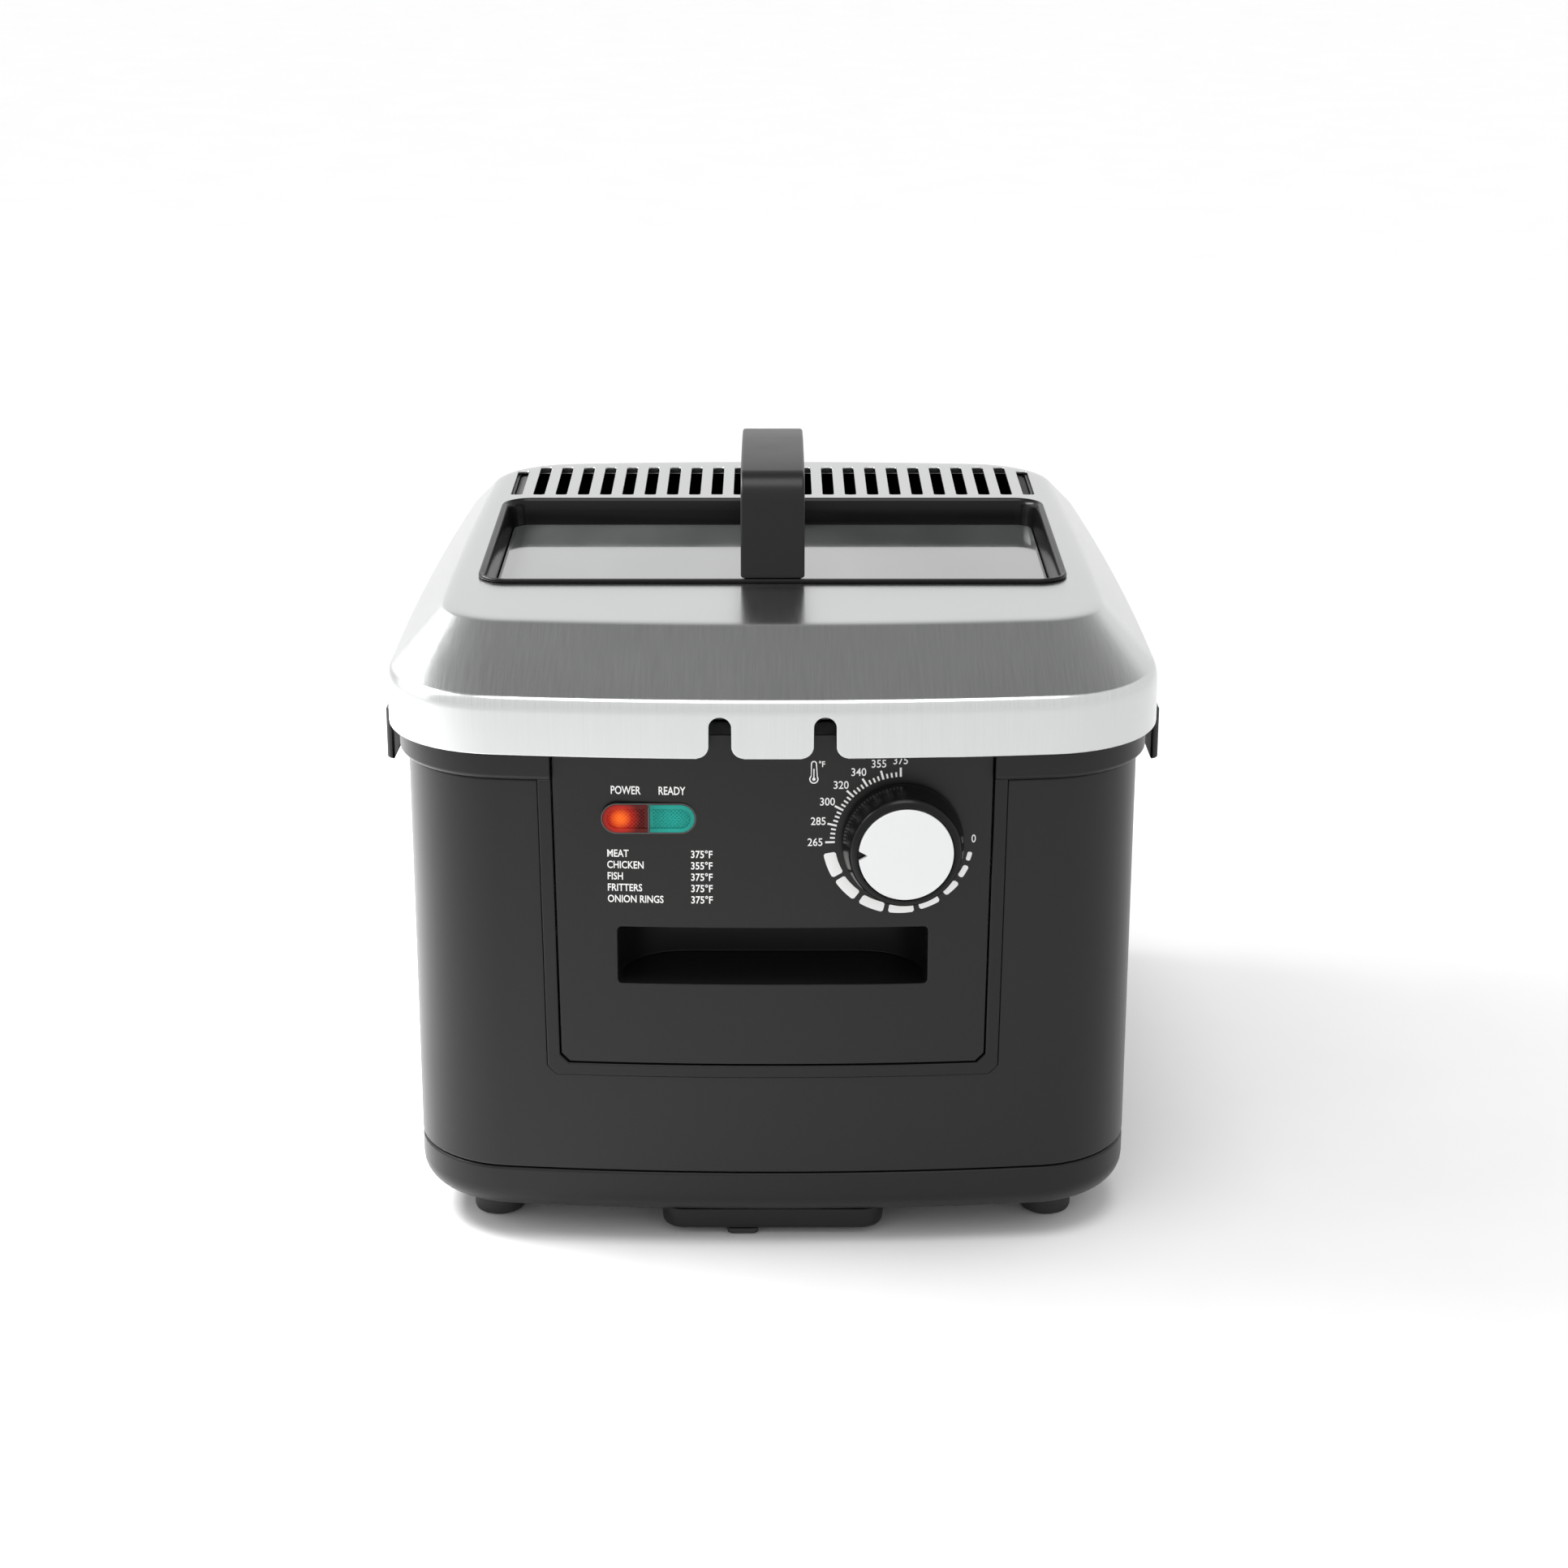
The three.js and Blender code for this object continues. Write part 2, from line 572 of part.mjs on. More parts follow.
function bulbClip() {
  const z = element.level + element.radius + gap / 2;
  const shape = roundedRectangle(4.6, 8, 4.5, [element.innerX, z]);
  shape.holes.push(roundedRectangle(3.6, 7, 3.5, [element.innerX, z]));
  return extrudeY(shape, -12, -2);
}

// One tube from the left terminal, down into the pot, round the floor and back up to the right.
function heatingElement() {
  const { radius, level: z, riserX, riserY, outerX, innerX } = element;
  const terminal = { y: -126, low: 188, high: 212 };
  const rear = 118;
  const left = [
    [-riserX, terminal.y, terminal.low], [-riserX, terminal.y, terminal.high],
    [-riserX, riserY, terminal.high], [-riserX, riserY, z], [-riserX - 2, riserY + 24, z],
    [-outerX, riserY + 30, z], [-outerX, rear, z], [-innerX, rear, z], [-innerX, -35, z],
  ];
  const right = left.map(([x, y, height]) => [-x, y, height]).reverse();
  return tube([...left, ...right], 16, radius, 92);
}

// A staple under the four runs that keeps them off the pot's floor.
function elementBracket() {
  const [high, low] = [element.level - element.radius - gap, pot.bottom + pot.sheet + gap];
  const [outer, foot, sheet] = [102, 90, 1.5];
  return extrudeY(polygon([
    [-outer, low], [-foot, low], [-foot, low + sheet], [-outer + sheet, low + sheet],
    [-outer + sheet, high - sheet], [outer - sheet, high - sheet], [outer - sheet, low + sheet],
    [foot, low + sheet], [foot, low], [outer, low], [outer, high], [-outer, high],
  ]), 34, 46);
}

// The sheet hood that hangs the unit on the pot's rim and shields the risers from the basket.
function elementGuard() {
  const [front, back, high, low, seat] = [-131, -91, 220, 62, box.top + gap];
  const sheet = 1.2;
  return extrudeX(polygon([
    [front - 8, seat], [front, seat], [front, high - sheet], [back - sheet, high - sheet],
    [back - sheet, low], [back, low], [back, high], [front - sheet, high],
    [front - sheet, seat + sheet], [front - 8, seat + sheet],
  ]), -44, 46);
}

function thermalCutout() {
  const back = box.back - 12.8;
  const [size, bore] = [9, 4.3];
  const depth = size - reset.travel - 1.4;
  const profile = [[0, 0], [size, 0], [size, size], [bore, size], [bore, depth], [0, depth]];
  return turned(profile, 16).rotate([-90, 0, 0]).translate([reset.x, back - size, reset.z]);
}

function resetButton() {
  const stem = rod('y', 3.5, box.back - 12.4, box.back + gap, [reset.x, reset.z], 12);
  return stem.add(rod('y', 5, box.back - 8, box.back - box.wall - 0.6, [reset.x, reset.z], 12));
}

function terminalBlock() {
  let bar = block(-30, 22, -150, -138, 84.5, 98);
  for (const x of [-22, -4, 14]) bar = bar.subtract(rod('z', 2.5, 90, 110, [x, -144], 8));
  return bar;
}

function interlockSwitch() {
  return block(34, 54, -146, -138, 82.3, 92).add(rod('z', 1.5, 90, 94.5, [40, -142], 8));
}

function dockingPlug() {
  const { halfWidth, front, back, top } = dock;
  const plate = block(-halfWidth, halfWidth, front, back, top + gap, box.bottom - gap);
  const nose = block(-halfWidth + 4, halfWidth - 4, front + 4, back - 4, top - 12, top + 1);
  return plate.add(nose);
}

// ---------------------------------------------------------------- knob

// Turned about the knob's axis; heights are measured from the panel's face outwards.
function turnedKnobPiece(profile, sides) {
  return turned(profile, sides)
    .rotate([90, 0, 0])
    .rotate([0, 0, (knobTilt * 180) / Math.PI])
    .translate([knob.x, bowedFace(knob.x), knob.z]);
}

function knobBody() {
  const { radius, faceRadius, seat, height: front } = knob;
  return turnedKnobPiece([
    [shaftRadius + 0.3, seat], [radius, seat], [radius, seat + 5], [faceRadius + 1.4, front - 1.6],
    [faceRadius, front - 0.3], [faceRadius - 1.2, front - 0.3], [faceRadius - 1.2, front - 2],
    [0, front - 2], [0, front - 4], [shaftRadius + 0.3, front - 4],
    [shaftRadius + 0.3, seat],
  ], 24);
}

function knobCap() {
  const { height } = knob;
  const seat = height - 1.7;
  return turnedKnobPiece([[0, seat], [capRadius, seat], [capRadius, height], [0, height]], 24);
}

function thermostatShaft() {
  const [inner, outer] = [-9.6, knob.height - 4 - gap];
  return turnedKnobPiece([[0, inner], [shaftRadius, inner], [shaftRadius, outer], [0, outer]], 12);
}

// ---------------------------------------------------------------- basket

const basketPlan = (inset) => outline(basket, -inset);

function basketMesh() {
  const { rim, bottom, wire } = basket;
  const ring = (inset, z) => level(basketPlan(inset), z);
  const top = rim - wire - gap;
  return loft([ring(12, bottom), ring(8, bottom + 4), ring(2.5, top)])
    .subtract(loft([ring(13.5, bottom + 1.5), ring(9.5, bottom + 5), ring(4, top + 1)]));
}

function basketRim() {
  return wireLoop(basketPlan(basket.wire), basket.rim, basket.wire);
}

function basketRunner(x) {
  const [low, high] = [element.level + element.radius + gap + 2, basket.bottom - gap];
  return tube([[x, -48, high], [x, -48, low], [x, 100, low], [x, 100, high]], 5, 2, 14);
}

// The wire hook that hangs the raised basket on the pot's rim to drain.
function basketHook() {
  const inner = basket.back - 2 * basket.wire - gap - 1.8;
  const [thick, over, crest] = [1.7, inner + 13, basket.rim + 20];
  const legs = [-14, 14].map((x) => tube([
    [x, inner - 4.5, basket.bottom + 30], [x, inner, basket.rim - 10], [x, inner, crest],
    [x, over, crest], [x, over, basket.rim + 9],
  ], 5, thick, 15));
  const bar = rod('x', thick, -14 - thick, 14 + thick, [over, basket.rim + 10], 6);
  return legs[0].add(legs[1]).add(bar);
}

// Where the handle's two wires plug in, on the front wall.
function handleBracket() {
  const outer = basket.front + 2 * basket.wire + 1.6;
  const plate = block(-26, 26, outer, outer + 1.5, basket.rim - 22, basket.rim + 8);
  const eyes = [-wireX, wireX].map((x) =>
    block(x - 6, x + 6, outer + 1, outer + 9, basket.rim - 12, basket.rim)
      .subtract(rod('y', 3, outer - 5, outer + 15, [x, basket.rim - 6], 8)));
  const holes = [-wireX, wireX].map((x) => rod('y', 3, outer - 5, outer + 15, [x, basket.rim - 6], 8));
  return plate.subtract(holes[0]).subtract(holes[1]).add(eyes[0]).add(eyes[1]);
}

const stored = { level: basket.bottom + 9, tip: -62, joint: 4, end: 116 };

function handleWire() {
  const { level: z, tip, joint } = stored;
  const route = [[-wireX, tip, z], [-wireX, joint - 12, z], [-7, joint + 22, z], [-7, joint + 52, z]];
  const left = tube(route, 8, 2.4, 10);
  const right = tube(route.map(([x, y, height]) => [-x, y, height]), 8, 2.4, 10);
  return left.add(right).add(block(-8, 8, joint + 40, joint + 50, z - 2, z + 2));
}

function handleGrip() {
  const { level: z, joint, end } = stored;
  const start = joint + 24;
  const outer = extrudeZ(
    roundedRectangle(14, (end - start) / 2, 9, [0, (start + end) / 2]), z - 6.5, z + 7.5,
  );
  const slot = block(-10.5, 10.5, joint, joint + 53, z - 3, z + 3);
  return outer.subtract(slot);
}

// ---------------------------------------------------------------- lid

const lidPlan = (inset) => bodyOutline(lid.proud - inset);
const flatTop = {
  front: body.front - lid.proud + lid.frontRun, back: body.back + lid.proud - lid.backRun, bow: body.bow,
  frontCorner: lid.topFrontCorner, rearCorner: lid.topRearCorner,
  side: { x: body.side.x + lid.proud - lid.sideRun, y: -88, radius: 5000 },
};
const topPlan = (inset) => outline(flatTop, -inset);

function windowRectangle(grow) {
  const halfDepth = (windowHole.back - windowHole.front) / 2 + grow;
  const middle = (windowHole.back + windowHole.front) / 2;
  return roundedRectangle(windowHole.halfWidth + grow, halfDepth, windowHole.corner + grow, [0, middle]);
}

const windowRing = (grow, z) => level(windowRectangle(grow).getPoints(2).map(({ x, y }) => [x, y]), z);

function lidShell() {
  const { hem, bend, top, sheet } = lid;
  const outer = loft([
    level(lidPlan(0), hem), level(lidPlan(0), bend - 3), level(lidPlan(0.8), bend - 1),
    level(lidPlan(2.6), bend + 0.4), level(topPlan(0), top),
  ]);
  const inner = loft([
    level(lidPlan(sheet), hem + sheet), level(lidPlan(sheet), bend - 3),
    level(lidPlan(0.8 + sheet), bend - 1.4), level(lidPlan(2.6 + sheet), bend - 0.5),
    level(topPlan(0.5), top - sheet),
  ]);
  const mouth = prism(lidPlan(5.4), hem - 1, hem + 3);
  let shell = outer.subtract(inner).subtract(mouth);
  shell = shell.subtract(extrudeZ(windowRectangle(-windowHole.overlap), top - 10, top + 5));
  for (let i = 0; i < vents.count; i += 1) {
    const x = (i - (vents.count - 1) / 2) * vents.pitch;
    const outermost = i === 0 || i === vents.count - 1;
    const back = vents.back - (outermost ? vents.shortBy : 0);
    const half = vents.width / 2;
    shell = shell.subtract(block(x - half, x + half, vents.front, back, top - 5, top + 5));
  }
  for (const x of [-wireX, wireX]) {
    const half = notch.width / 2;
    const shape = new THREE.Shape();
    shape.moveTo(x + half + 3, hem - 2).lineTo(x + half + 3, hem + 1).lineTo(x + half, hem + 4);
    shape.absarc(x, notch.top - half, half, 0, TAU / 2, false);
    shape.lineTo(x - half, hem + 4).lineTo(x - half - 3, hem + 1).lineTo(x - half - 3, hem - 2);
    shell = shell.subtract(extrudeY(shape, -180, -150));
  }
  return shell;
}

const sealZ = { low: glass.top - glass.thick - gap - 1.7, high: glass.top - glass.thick - gap };

// The black frame: a lip on the steel, a wall through the opening and a ledge under the glass.
function windowBezel() {
  const { top } = lid;
  const { overlap, rim, lip: lipThick, sight: inset } = windowHole;
  const under = sealZ.low - gap;
  const lip = extrudeZ(windowRectangle(0), top + gap, top + gap + lipThick);
  const wall = extrudeZ(windowRectangle(-overlap - gap), under - 2, top + 1);
  const sight = loft([
    windowRing(-inset, under), windowRing(-inset, glass.top + gap), windowRing(-rim - 0.5, top - 3),
    windowRing(-rim, top + 5),
  ]);
  const ledge = extrudeZ(windowRectangle(-inset - 5), under - 5, top + 5);
  let bezel = lip.add(wall).subtract(sight).subtract(ledge);
  for (const [y, inward] of [[windowHole.front, 1], [windowHole.back, -1]]) {
    const [a, b] = [y + inward * 2, y + inward * 11];
    const pad = block(-11, 11, Math.min(a, b), Math.max(a, b), glass.top + 2 + gap, top + gap + lipThick);
    bezel = bezel.add(pad);
  }
  for (const y of studPlaces) bezel = bezel.subtract(rod('z', stud.hole, glass.top + 4, top + 5, [0, y], 8));
  return bezel;
}

function lidGlass() {
  return extrudeZ(windowRectangle(-windowHole.sight - gap), glass.top - glass.thick, glass.top);
}

// The soft ring between the ledge and the glass.
function glassGasket() {
  return extrudeZ(windowRectangle(-windowHole.sight - gap), sealZ.low, sealZ.high)
    .subtract(extrudeZ(windowRectangle(-windowHole.sight - 3), sealZ.low - 1, sealZ.high + 1));
}

function lidHandle() {
  const { halfWidth, top, front, back, thick } = arch;
  const seat = lid.top + gap + windowHole.lip + gap;
  const shape = new THREE.Shape();
  shape.moveTo(front, seat).lineTo(front + 9, seat);
  shape.lineTo(front + 14, top - thick - 16);
  shape.quadraticCurveTo(front + 17, top - thick - 2, front + 34, top - thick);
  shape.lineTo(back - 38, top - thick - 3);
  shape.quadraticCurveTo(back - 17, top - thick - 7, back - 14, top - thick - 18);
  shape.lineTo(back - 9, seat).lineTo(back, seat);
  shape.lineTo(back - 5, top - 24);
  shape.quadraticCurveTo(back - 9, top - 7, back - 30, top - 4);
  shape.quadraticCurveTo(10, top + 1, front + 16, top - 1);
  shape.quadraticCurveTo(front + 6, top - 2, front + 4, top - 12);
  return extrudeX(shape, -halfWidth, halfWidth)
    .subtract(rod('z', stud.hole, seat - 1, seat + 10, [0, studPlaces[0]], 8))
    .subtract(rod('z', stud.hole, seat - 1, seat + 10, [0, studPlaces[1]], 8));
}

function handleStud(y) {
  return rod('z', stud.radius, glass.top + 4 + gap, lid.top + 9, [0, y], 8);
}

// The filter cassette hangs under the vents: a tray with a grid floor and a foam pad in it.
const cassette = {
  halfWidth: 114.5, front: 89, back: 146, corner: 12, wall: 1.5, top: lid.top - lid.sheet - gap, depth: 11,
};

function cassettePlan(inset) {
  const { halfWidth, front, back, corner } = cassette;
  const [halfDepth, middle] = [(back - front) / 2, (front + back) / 2];
  return roundedRectangle(halfWidth - inset, halfDepth - inset, corner - inset, [0, middle]);
}

function filterTray() {
  const { front, back, wall, top, depth } = cassette;
  let tray = extrudeZ(cassettePlan(0), top - depth, top)
    .subtract(extrudeZ(cassettePlan(wall), top - depth + wall, top + 1));
  for (let column = -4; column <= 4; column += 1) {
    const x = column * 24;
    tray = tray.subtract(block(x - 8, x + 8, front + 8, back - 8, top - depth - 1, top - depth + 3));
  }
  return tray;
}

function filterPad() {
  const { wall, top, depth } = cassette;
  return extrudeZ(cassettePlan(wall + gap), top - depth + wall + gap, top - 1);
}

// ---------------------------------------------------------------- assembly

addPiece('housing_shell', 'black_plastic', housingShell());
addPiece('rim_collar', 'dark_plastic', rimCollar());
addPiece('base_tray', 'dark_plastic', baseTray());
addPiece('bottom_cover', 'steel', bottomCover());
addPiece('carry_handle_left', 'dark_plastic', sideHandle(-1));
addPiece('carry_handle_right', 'dark_plastic', sideHandle(1));
addPiece('front_skid', 'dark_plastic', frontSkid());
addPiece('skid_pad', 'rubber', skidPad());
['front_left', 'front_right', 'rear_left', 'rear_right'].forEach((place, i) => {
  const footX = place.startsWith('front') ? foot.frontX : foot.rearX;
  addPiece(`foot_${place}`, 'rubber', rubberFoot(...fourCorners(footX, foot.y)[i]));
  addPiece(`base_screw_${place}`, 'steel', baseScrew(...fourCorners(boss.x, boss.y)[i]));
});
addPiece('heat_shield', 'steel', heatShield());
addPiece('inlet_socket', 'gloss_black', inletSocket());
addPiece('docking_socket', 'gloss_black', dockingSocket());
addPiece('mains_harness', 'cable_sheath', mainsHarness());

addPiece('oil_pot', 'tank_steel', oilPot());

addPiece('control_panel', 'black_plastic', controlPanel());
addPiece('control_box', 'dark_plastic', controlBox());
addPiece('lamp_bezel', 'clear_lens', lampBezel());
addPiece('power_lens', 'red_lens', lens(-1));
addPiece('ready_lens', 'green_lens', lens(1));
addPiece('lamp_holder', 'dark_plastic', lampHolder());
addPiece('power_lamp', 'clear_glass', neonLamp(-1));
addPiece('ready_lamp', 'clear_glass', neonLamp(1));
addPiece('thermostat', 'gloss_black', thermostat());
addPiece('sensor_bulb', 'bright_wire', sensorBulb());
addPiece('bulb_clip', 'bright_wire', bulbClip());
addPiece('heating_element', 'element_steel', heatingElement());
addPiece('element_bracket', 'bright_wire', elementBracket());
addPiece('element_guard', 'tank_steel', elementGuard());
addPiece('thermal_cutout', 'gloss_black', thermalCutout());
addPiece('reset_button', 'button_red', resetButton());
addPiece('terminal_block', 'gloss_black', terminalBlock());
addPiece('interlock_switch', 'gloss_black', interlockSwitch());
addPiece('docking_plug', 'gloss_black', dockingPlug());

addPiece('knob_body', 'gloss_black', knobBody());
addPiece('knob_cap', 'silver_cap', knobCap());
addPiece('thermostat_shaft', 'steel', thermostatShaft());

addPiece('basket_mesh', 'bright_wire', basketMesh());
addPiece('basket_rim', 'bright_wire', basketRim());
addPiece('basket_runner_left', 'bright_wire', basketRunner(-93));
addPiece('basket_runner_right', 'bright_wire', basketRunner(93));
addPiece('basket_hook', 'bright_wire', basketHook());
addPiece('handle_bracket', 'bright_wire', handleBracket());
addPiece('basket_handle_wire', 'bright_wire', handleWire());
addPiece('basket_handle_grip', 'dark_plastic', handleGrip());

addPiece('lid_shell', 'brushed_steel', lidShell());
addPiece('window_bezel', 'gloss_black', windowBezel());
addPiece('lid_glass', 'clear_glass', lidGlass());
addPiece('glass_gasket', 'rubber', glassGasket());
addPiece('lid_handle', 'dark_plastic', lidHandle());
addPiece('handle_stud_front', 'steel', handleStud(studPlaces[0]));
addPiece('handle_stud_rear', 'steel', handleStud(studPlaces[1]));
addPiece('filter_tray', 'dark_plastic', filterTray());
addPiece('filter_pad', 'filter_foam', filterPad());

export default model;
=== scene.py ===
"""Looks of the deep fryer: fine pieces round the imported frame, their materials, and the studio.

Pieces are worked out in millimetres, in a frame whose y runs from the middle of the casing; solid()
turns them into metres in the row's frame.
"""

import json
import math

import bmesh
import bpy
from mathutils import Matrix, Vector

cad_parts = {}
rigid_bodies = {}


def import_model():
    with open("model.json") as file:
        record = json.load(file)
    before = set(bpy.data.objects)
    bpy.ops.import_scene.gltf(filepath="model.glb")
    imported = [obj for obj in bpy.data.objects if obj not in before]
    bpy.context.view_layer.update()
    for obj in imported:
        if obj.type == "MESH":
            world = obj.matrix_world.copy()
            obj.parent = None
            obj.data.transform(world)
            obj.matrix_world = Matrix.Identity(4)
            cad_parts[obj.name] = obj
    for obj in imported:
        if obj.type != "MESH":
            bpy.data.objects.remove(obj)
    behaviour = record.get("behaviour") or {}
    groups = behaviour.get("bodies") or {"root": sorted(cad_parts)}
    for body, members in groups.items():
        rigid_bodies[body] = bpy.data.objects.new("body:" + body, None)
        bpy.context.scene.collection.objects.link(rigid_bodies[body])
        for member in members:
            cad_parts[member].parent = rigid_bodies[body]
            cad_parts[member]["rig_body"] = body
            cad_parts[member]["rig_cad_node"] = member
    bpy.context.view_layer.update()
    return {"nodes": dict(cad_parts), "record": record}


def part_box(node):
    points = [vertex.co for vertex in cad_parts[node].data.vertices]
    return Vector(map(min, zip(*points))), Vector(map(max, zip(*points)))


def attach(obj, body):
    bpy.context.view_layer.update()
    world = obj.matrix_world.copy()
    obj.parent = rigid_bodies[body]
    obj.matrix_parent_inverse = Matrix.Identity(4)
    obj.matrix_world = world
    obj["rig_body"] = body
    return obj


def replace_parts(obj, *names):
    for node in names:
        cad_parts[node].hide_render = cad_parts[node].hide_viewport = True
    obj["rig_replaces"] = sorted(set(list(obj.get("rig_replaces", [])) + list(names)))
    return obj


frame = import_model()

MM = 0.001
TAU = 2 * math.pi
record = frame["record"]
SLOT_OF = {row["node"]: row["material_slot"] for row in record["subparts"]}
BODY_OF = {node: body for body, nodes in record["behaviour"]["bodies"].items() for node in nodes}


# ---------------------------------------------------------------- driving sizes, from the frame

tray_low, tray_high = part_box("base_tray")
SHIFT = (tray_low.y + tray_high.y) / 2 / MM      # the casing's middle in the row's frame, in mm


def cad(node):
    """A CAD node's box in mm, in the working frame: (x0, x1), (y0, y1), (z0, z1)."""
    low, high = (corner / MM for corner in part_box(node))
    return (low.x, high.x), (low.y - SHIFT, high.y - SHIFT), (low.z, high.z)


GAP = 0.3
PROUD = 0.4      # how far the panel stands out of the casing's face
INK = (PROUD - 0.05, PROUD + 0.07)      # where the print starts and ends, out of the casing's face
WALL = 2.5       # the moulded casing's thickness
SHEET = 1.2      # the pressed steel's thickness
STUD_HOLE = 1.8
CORNERS = ("front_left", "front_right", "rear_left", "rear_right")
front_face, back_face = cad("base_tray")[1]
body = {
    "front": front_face, "back": back_face, "bow": 900, "front_corner": 40, "rear_corner": 28,
    "side": (137, -118, 3500),
}
lid_z = cad("lid_shell")[2]
lid_proud = cad("lid_shell")[1][1] - back_face
slope = {"front": 54, "back": 11.5, "side": 18}      # how far the flat top lies inside the lid's edge
flat_top = {
    "front": front_face - lid_proud + slope["front"], "back": back_face + lid_proud - slope["back"],
    "bow": 900, "front_corner": 28, "rear_corner": 34,
    "side": (137 + lid_proud - slope["side"], -88, 5000),
}
pot_plan = {
    "front": cad("oil_pot")[1][0] + 4.5, "back": cad("oil_pot")[1][1] - 4.5, "bow": 3000,
    "front_corner": 34, "rear_corner": 30, "side": (128, -118, 3500),
}
basket_plan = {
    "front": cad("basket_rim")[1][0], "back": cad("basket_rim")[1][1], "bow": 3000,
    "front_corner": 30, "rear_corner": 28, "side": (116, -118, 3500),
}
panel = {
    "top": cad("control_panel")[2][1], "bottom": cad("control_panel")[2][0], "chamfer": 3.3,
    "top_half": 80.75, "bottom_half": 79.35,
}
window = {"half": cad("window_bezel")[0][1], "y": cad("window_bezel")[1], "corner": 12}
knob_x, knob_z = 47.5, sum(cad("knob_cap")[2]) / 2
dial = {"x": 47.15, "z": knob_z + 0.3}
lamp_x, lamp_z = [sum(pair) / 2 for pair in (cad("lamp_bezel")[0], cad("lamp_bezel")[2])]


def bowed(x):
    """Where the bowed front face is at a distance x from the middle."""
    return front_face + body["bow"] - math.sqrt(body["bow"] ** 2 - x ** 2)


# ---------------------------------------------------------------- outlines and profiles

def middle(pair):
    return sum(pair) / 2


def arc(centre, radius, start, end, steps):
    """Points along an arc, its end left out."""
    angles = [start + (end - start) * i / steps for i in range(steps)]
    return [(centre[0] + radius * math.cos(a), centre[1] + radius * math.sin(a)) for a in angles]


def disc(centre, radius, steps=16):
    return arc(centre, radius, 0, TAU, steps)


def tangent_centre(first, radius_a, second, radius_b, sign):
    """Where two circles cross, on the right and nearer the front (sign -1) or the back (sign 1)."""
    (ax, ay), (bx, by) = first, second
    distance = math.hypot(bx - ax, by - ay)
    ux, uy = (bx - ax) / distance, (by - ay) / distance
    along = (radius_a ** 2 - radius_b ** 2 + distance ** 2) / (2 * distance)
    aside = math.sqrt(radius_a ** 2 - along ** 2)
    crossings = [
        (ax + ux * along - uy * aside * turn, ay + uy * along + ux * aside * turn) for turn in (-1, 1)
    ]
    return max(crossings, key=lambda point: sign * point[1])


def outline(plan, grow=0.0):
    """The outline of tangent arcs that part.mjs uses, with more points: anticlockwise from the front."""
    side_x, side_y, side_radius = plan["side"]
    side_centre = (side_x - side_radius, side_y)
    ends = []
    for sign, edge, corner in ((-1, plan["front"], "front_corner"), (1, plan["back"], "rear_corner")):
        radius = plan[corner]
        bow_centre = (0, edge - sign * plan["bow"])
        centre = tangent_centre(side_centre, side_radius - radius, bow_centre, plan["bow"] - radius, sign)
        bow_angle = math.atan2(centre[1] - bow_centre[1], centre[0])
        side_angle = math.atan2(centre[1] - side_centre[1], centre[0] - side_centre[0])
        ends.append((bow_centre, centre, radius, bow_angle, side_angle))
    (near_bow, near, near_radius, near_start, near_end), (far_bow, far, far_radius, far_end, far_start) = ends
    half = arc(near_bow, plan["bow"] + grow, -TAU / 4, near_start, 8)
    half += arc(near, near_radius + grow, near_start, near_end, 12)
    half += arc(side_centre, side_radius + grow, near_end, far_start, 8)
    half += arc(far, far_radius + grow, far_start, far_end, 12)
    half += arc(far_bow, plan["bow"] + grow, far_end, TAU / 4, 8)
    mirrored = [(-x, y) for x, y in reversed(half[1:])]
    return half + [(0, plan["back"] + grow)] + mirrored


def rounded(half_u, half_v, radius, centre=(0, 0), steps=8):
    """A rectangle with round corners, anticlockwise."""
    points = []
    for su, sv, turn in ((1, -1, -0.25), (1, 1, 0), (-1, 1, 0.25), (-1, -1, 0.5)):
        middle = (centre[0] + su * (half_u - radius), centre[1] + sv * (half_v - radius))
        points += arc(middle, radius, turn * TAU, (turn + 0.25) * TAU, steps)
        points.append((middle[0] + radius * math.cos((turn + 0.25) * TAU),
                       middle[1] + radius * math.sin((turn + 0.25) * TAU)))
    return points


def inset_box(half_u, half_v, radius, centre):
    """The outline of a rounded rectangle, as a function of its inset."""
    return lambda inset: rounded(half_u - inset, half_v - inset, radius - inset, centre)


def curve(start, control, end, steps=8):
    """Points along a quadratic curve, its start left out."""
    shares = [i / steps for i in range(1, steps + 1)]
    return [tuple((1 - t) ** 2 * a + 2 * t * (1 - t) * b + t * t * c for a, b, c in zip(start, control, end))
            for t in shares]


def bent(corners, radius, steps=6):
    """A route through corners, with each corner rounded."""
    points = [Vector(corner) for corner in corners]
    path = [points[0]]
    for before, corner, after in zip(points, points[1:], points[2:]):
        back, ahead = before - corner, after - corner
        room = min(radius, back.length / 2, ahead.length / 2)
        start, end = corner + back.normalized() * room, corner + ahead.normalized() * room
        path.append(start)
        path += [Vector(p) for p in curve(start, corner, end, steps)]
    path.append(points[-1])
    return [p for i, p in enumerate(path) if i == 0 or (p - path[i - 1]).length > 0.02]


# ---------------------------------------------------------------- shapes: (points, faces) in mm

def loft(rings, closed=False):
    """Joins rings of equally many points; an open loft gets a face at each end."""
    count = len(rings[0])
    faces = []
    for r in range(len(rings) if closed else len(rings) - 1):
        low, high = r * count, (r + 1) % len(rings) * count
        faces += [(low + i, low + (i + 1) % count, high + (i + 1) % count, high + i) for i in range(count)]
    if not closed:
        last = (len(rings) - 1) * count
        faces += [tuple(range(count))[::-1], tuple(range(last, last + count))]
    return [point for ring in rings for point in ring], faces


def level(points, z):
    return [(x, y, z) for x, y in points]


def stack(line, steps):
    """Rings of an outline that depends on a growth or an inset, one for each (amount, height)."""
    return [level(line(amount), z) for amount, z in steps]


def prism(points, z0, z1):
    return loft([level(points, z0), level(points, z1)])


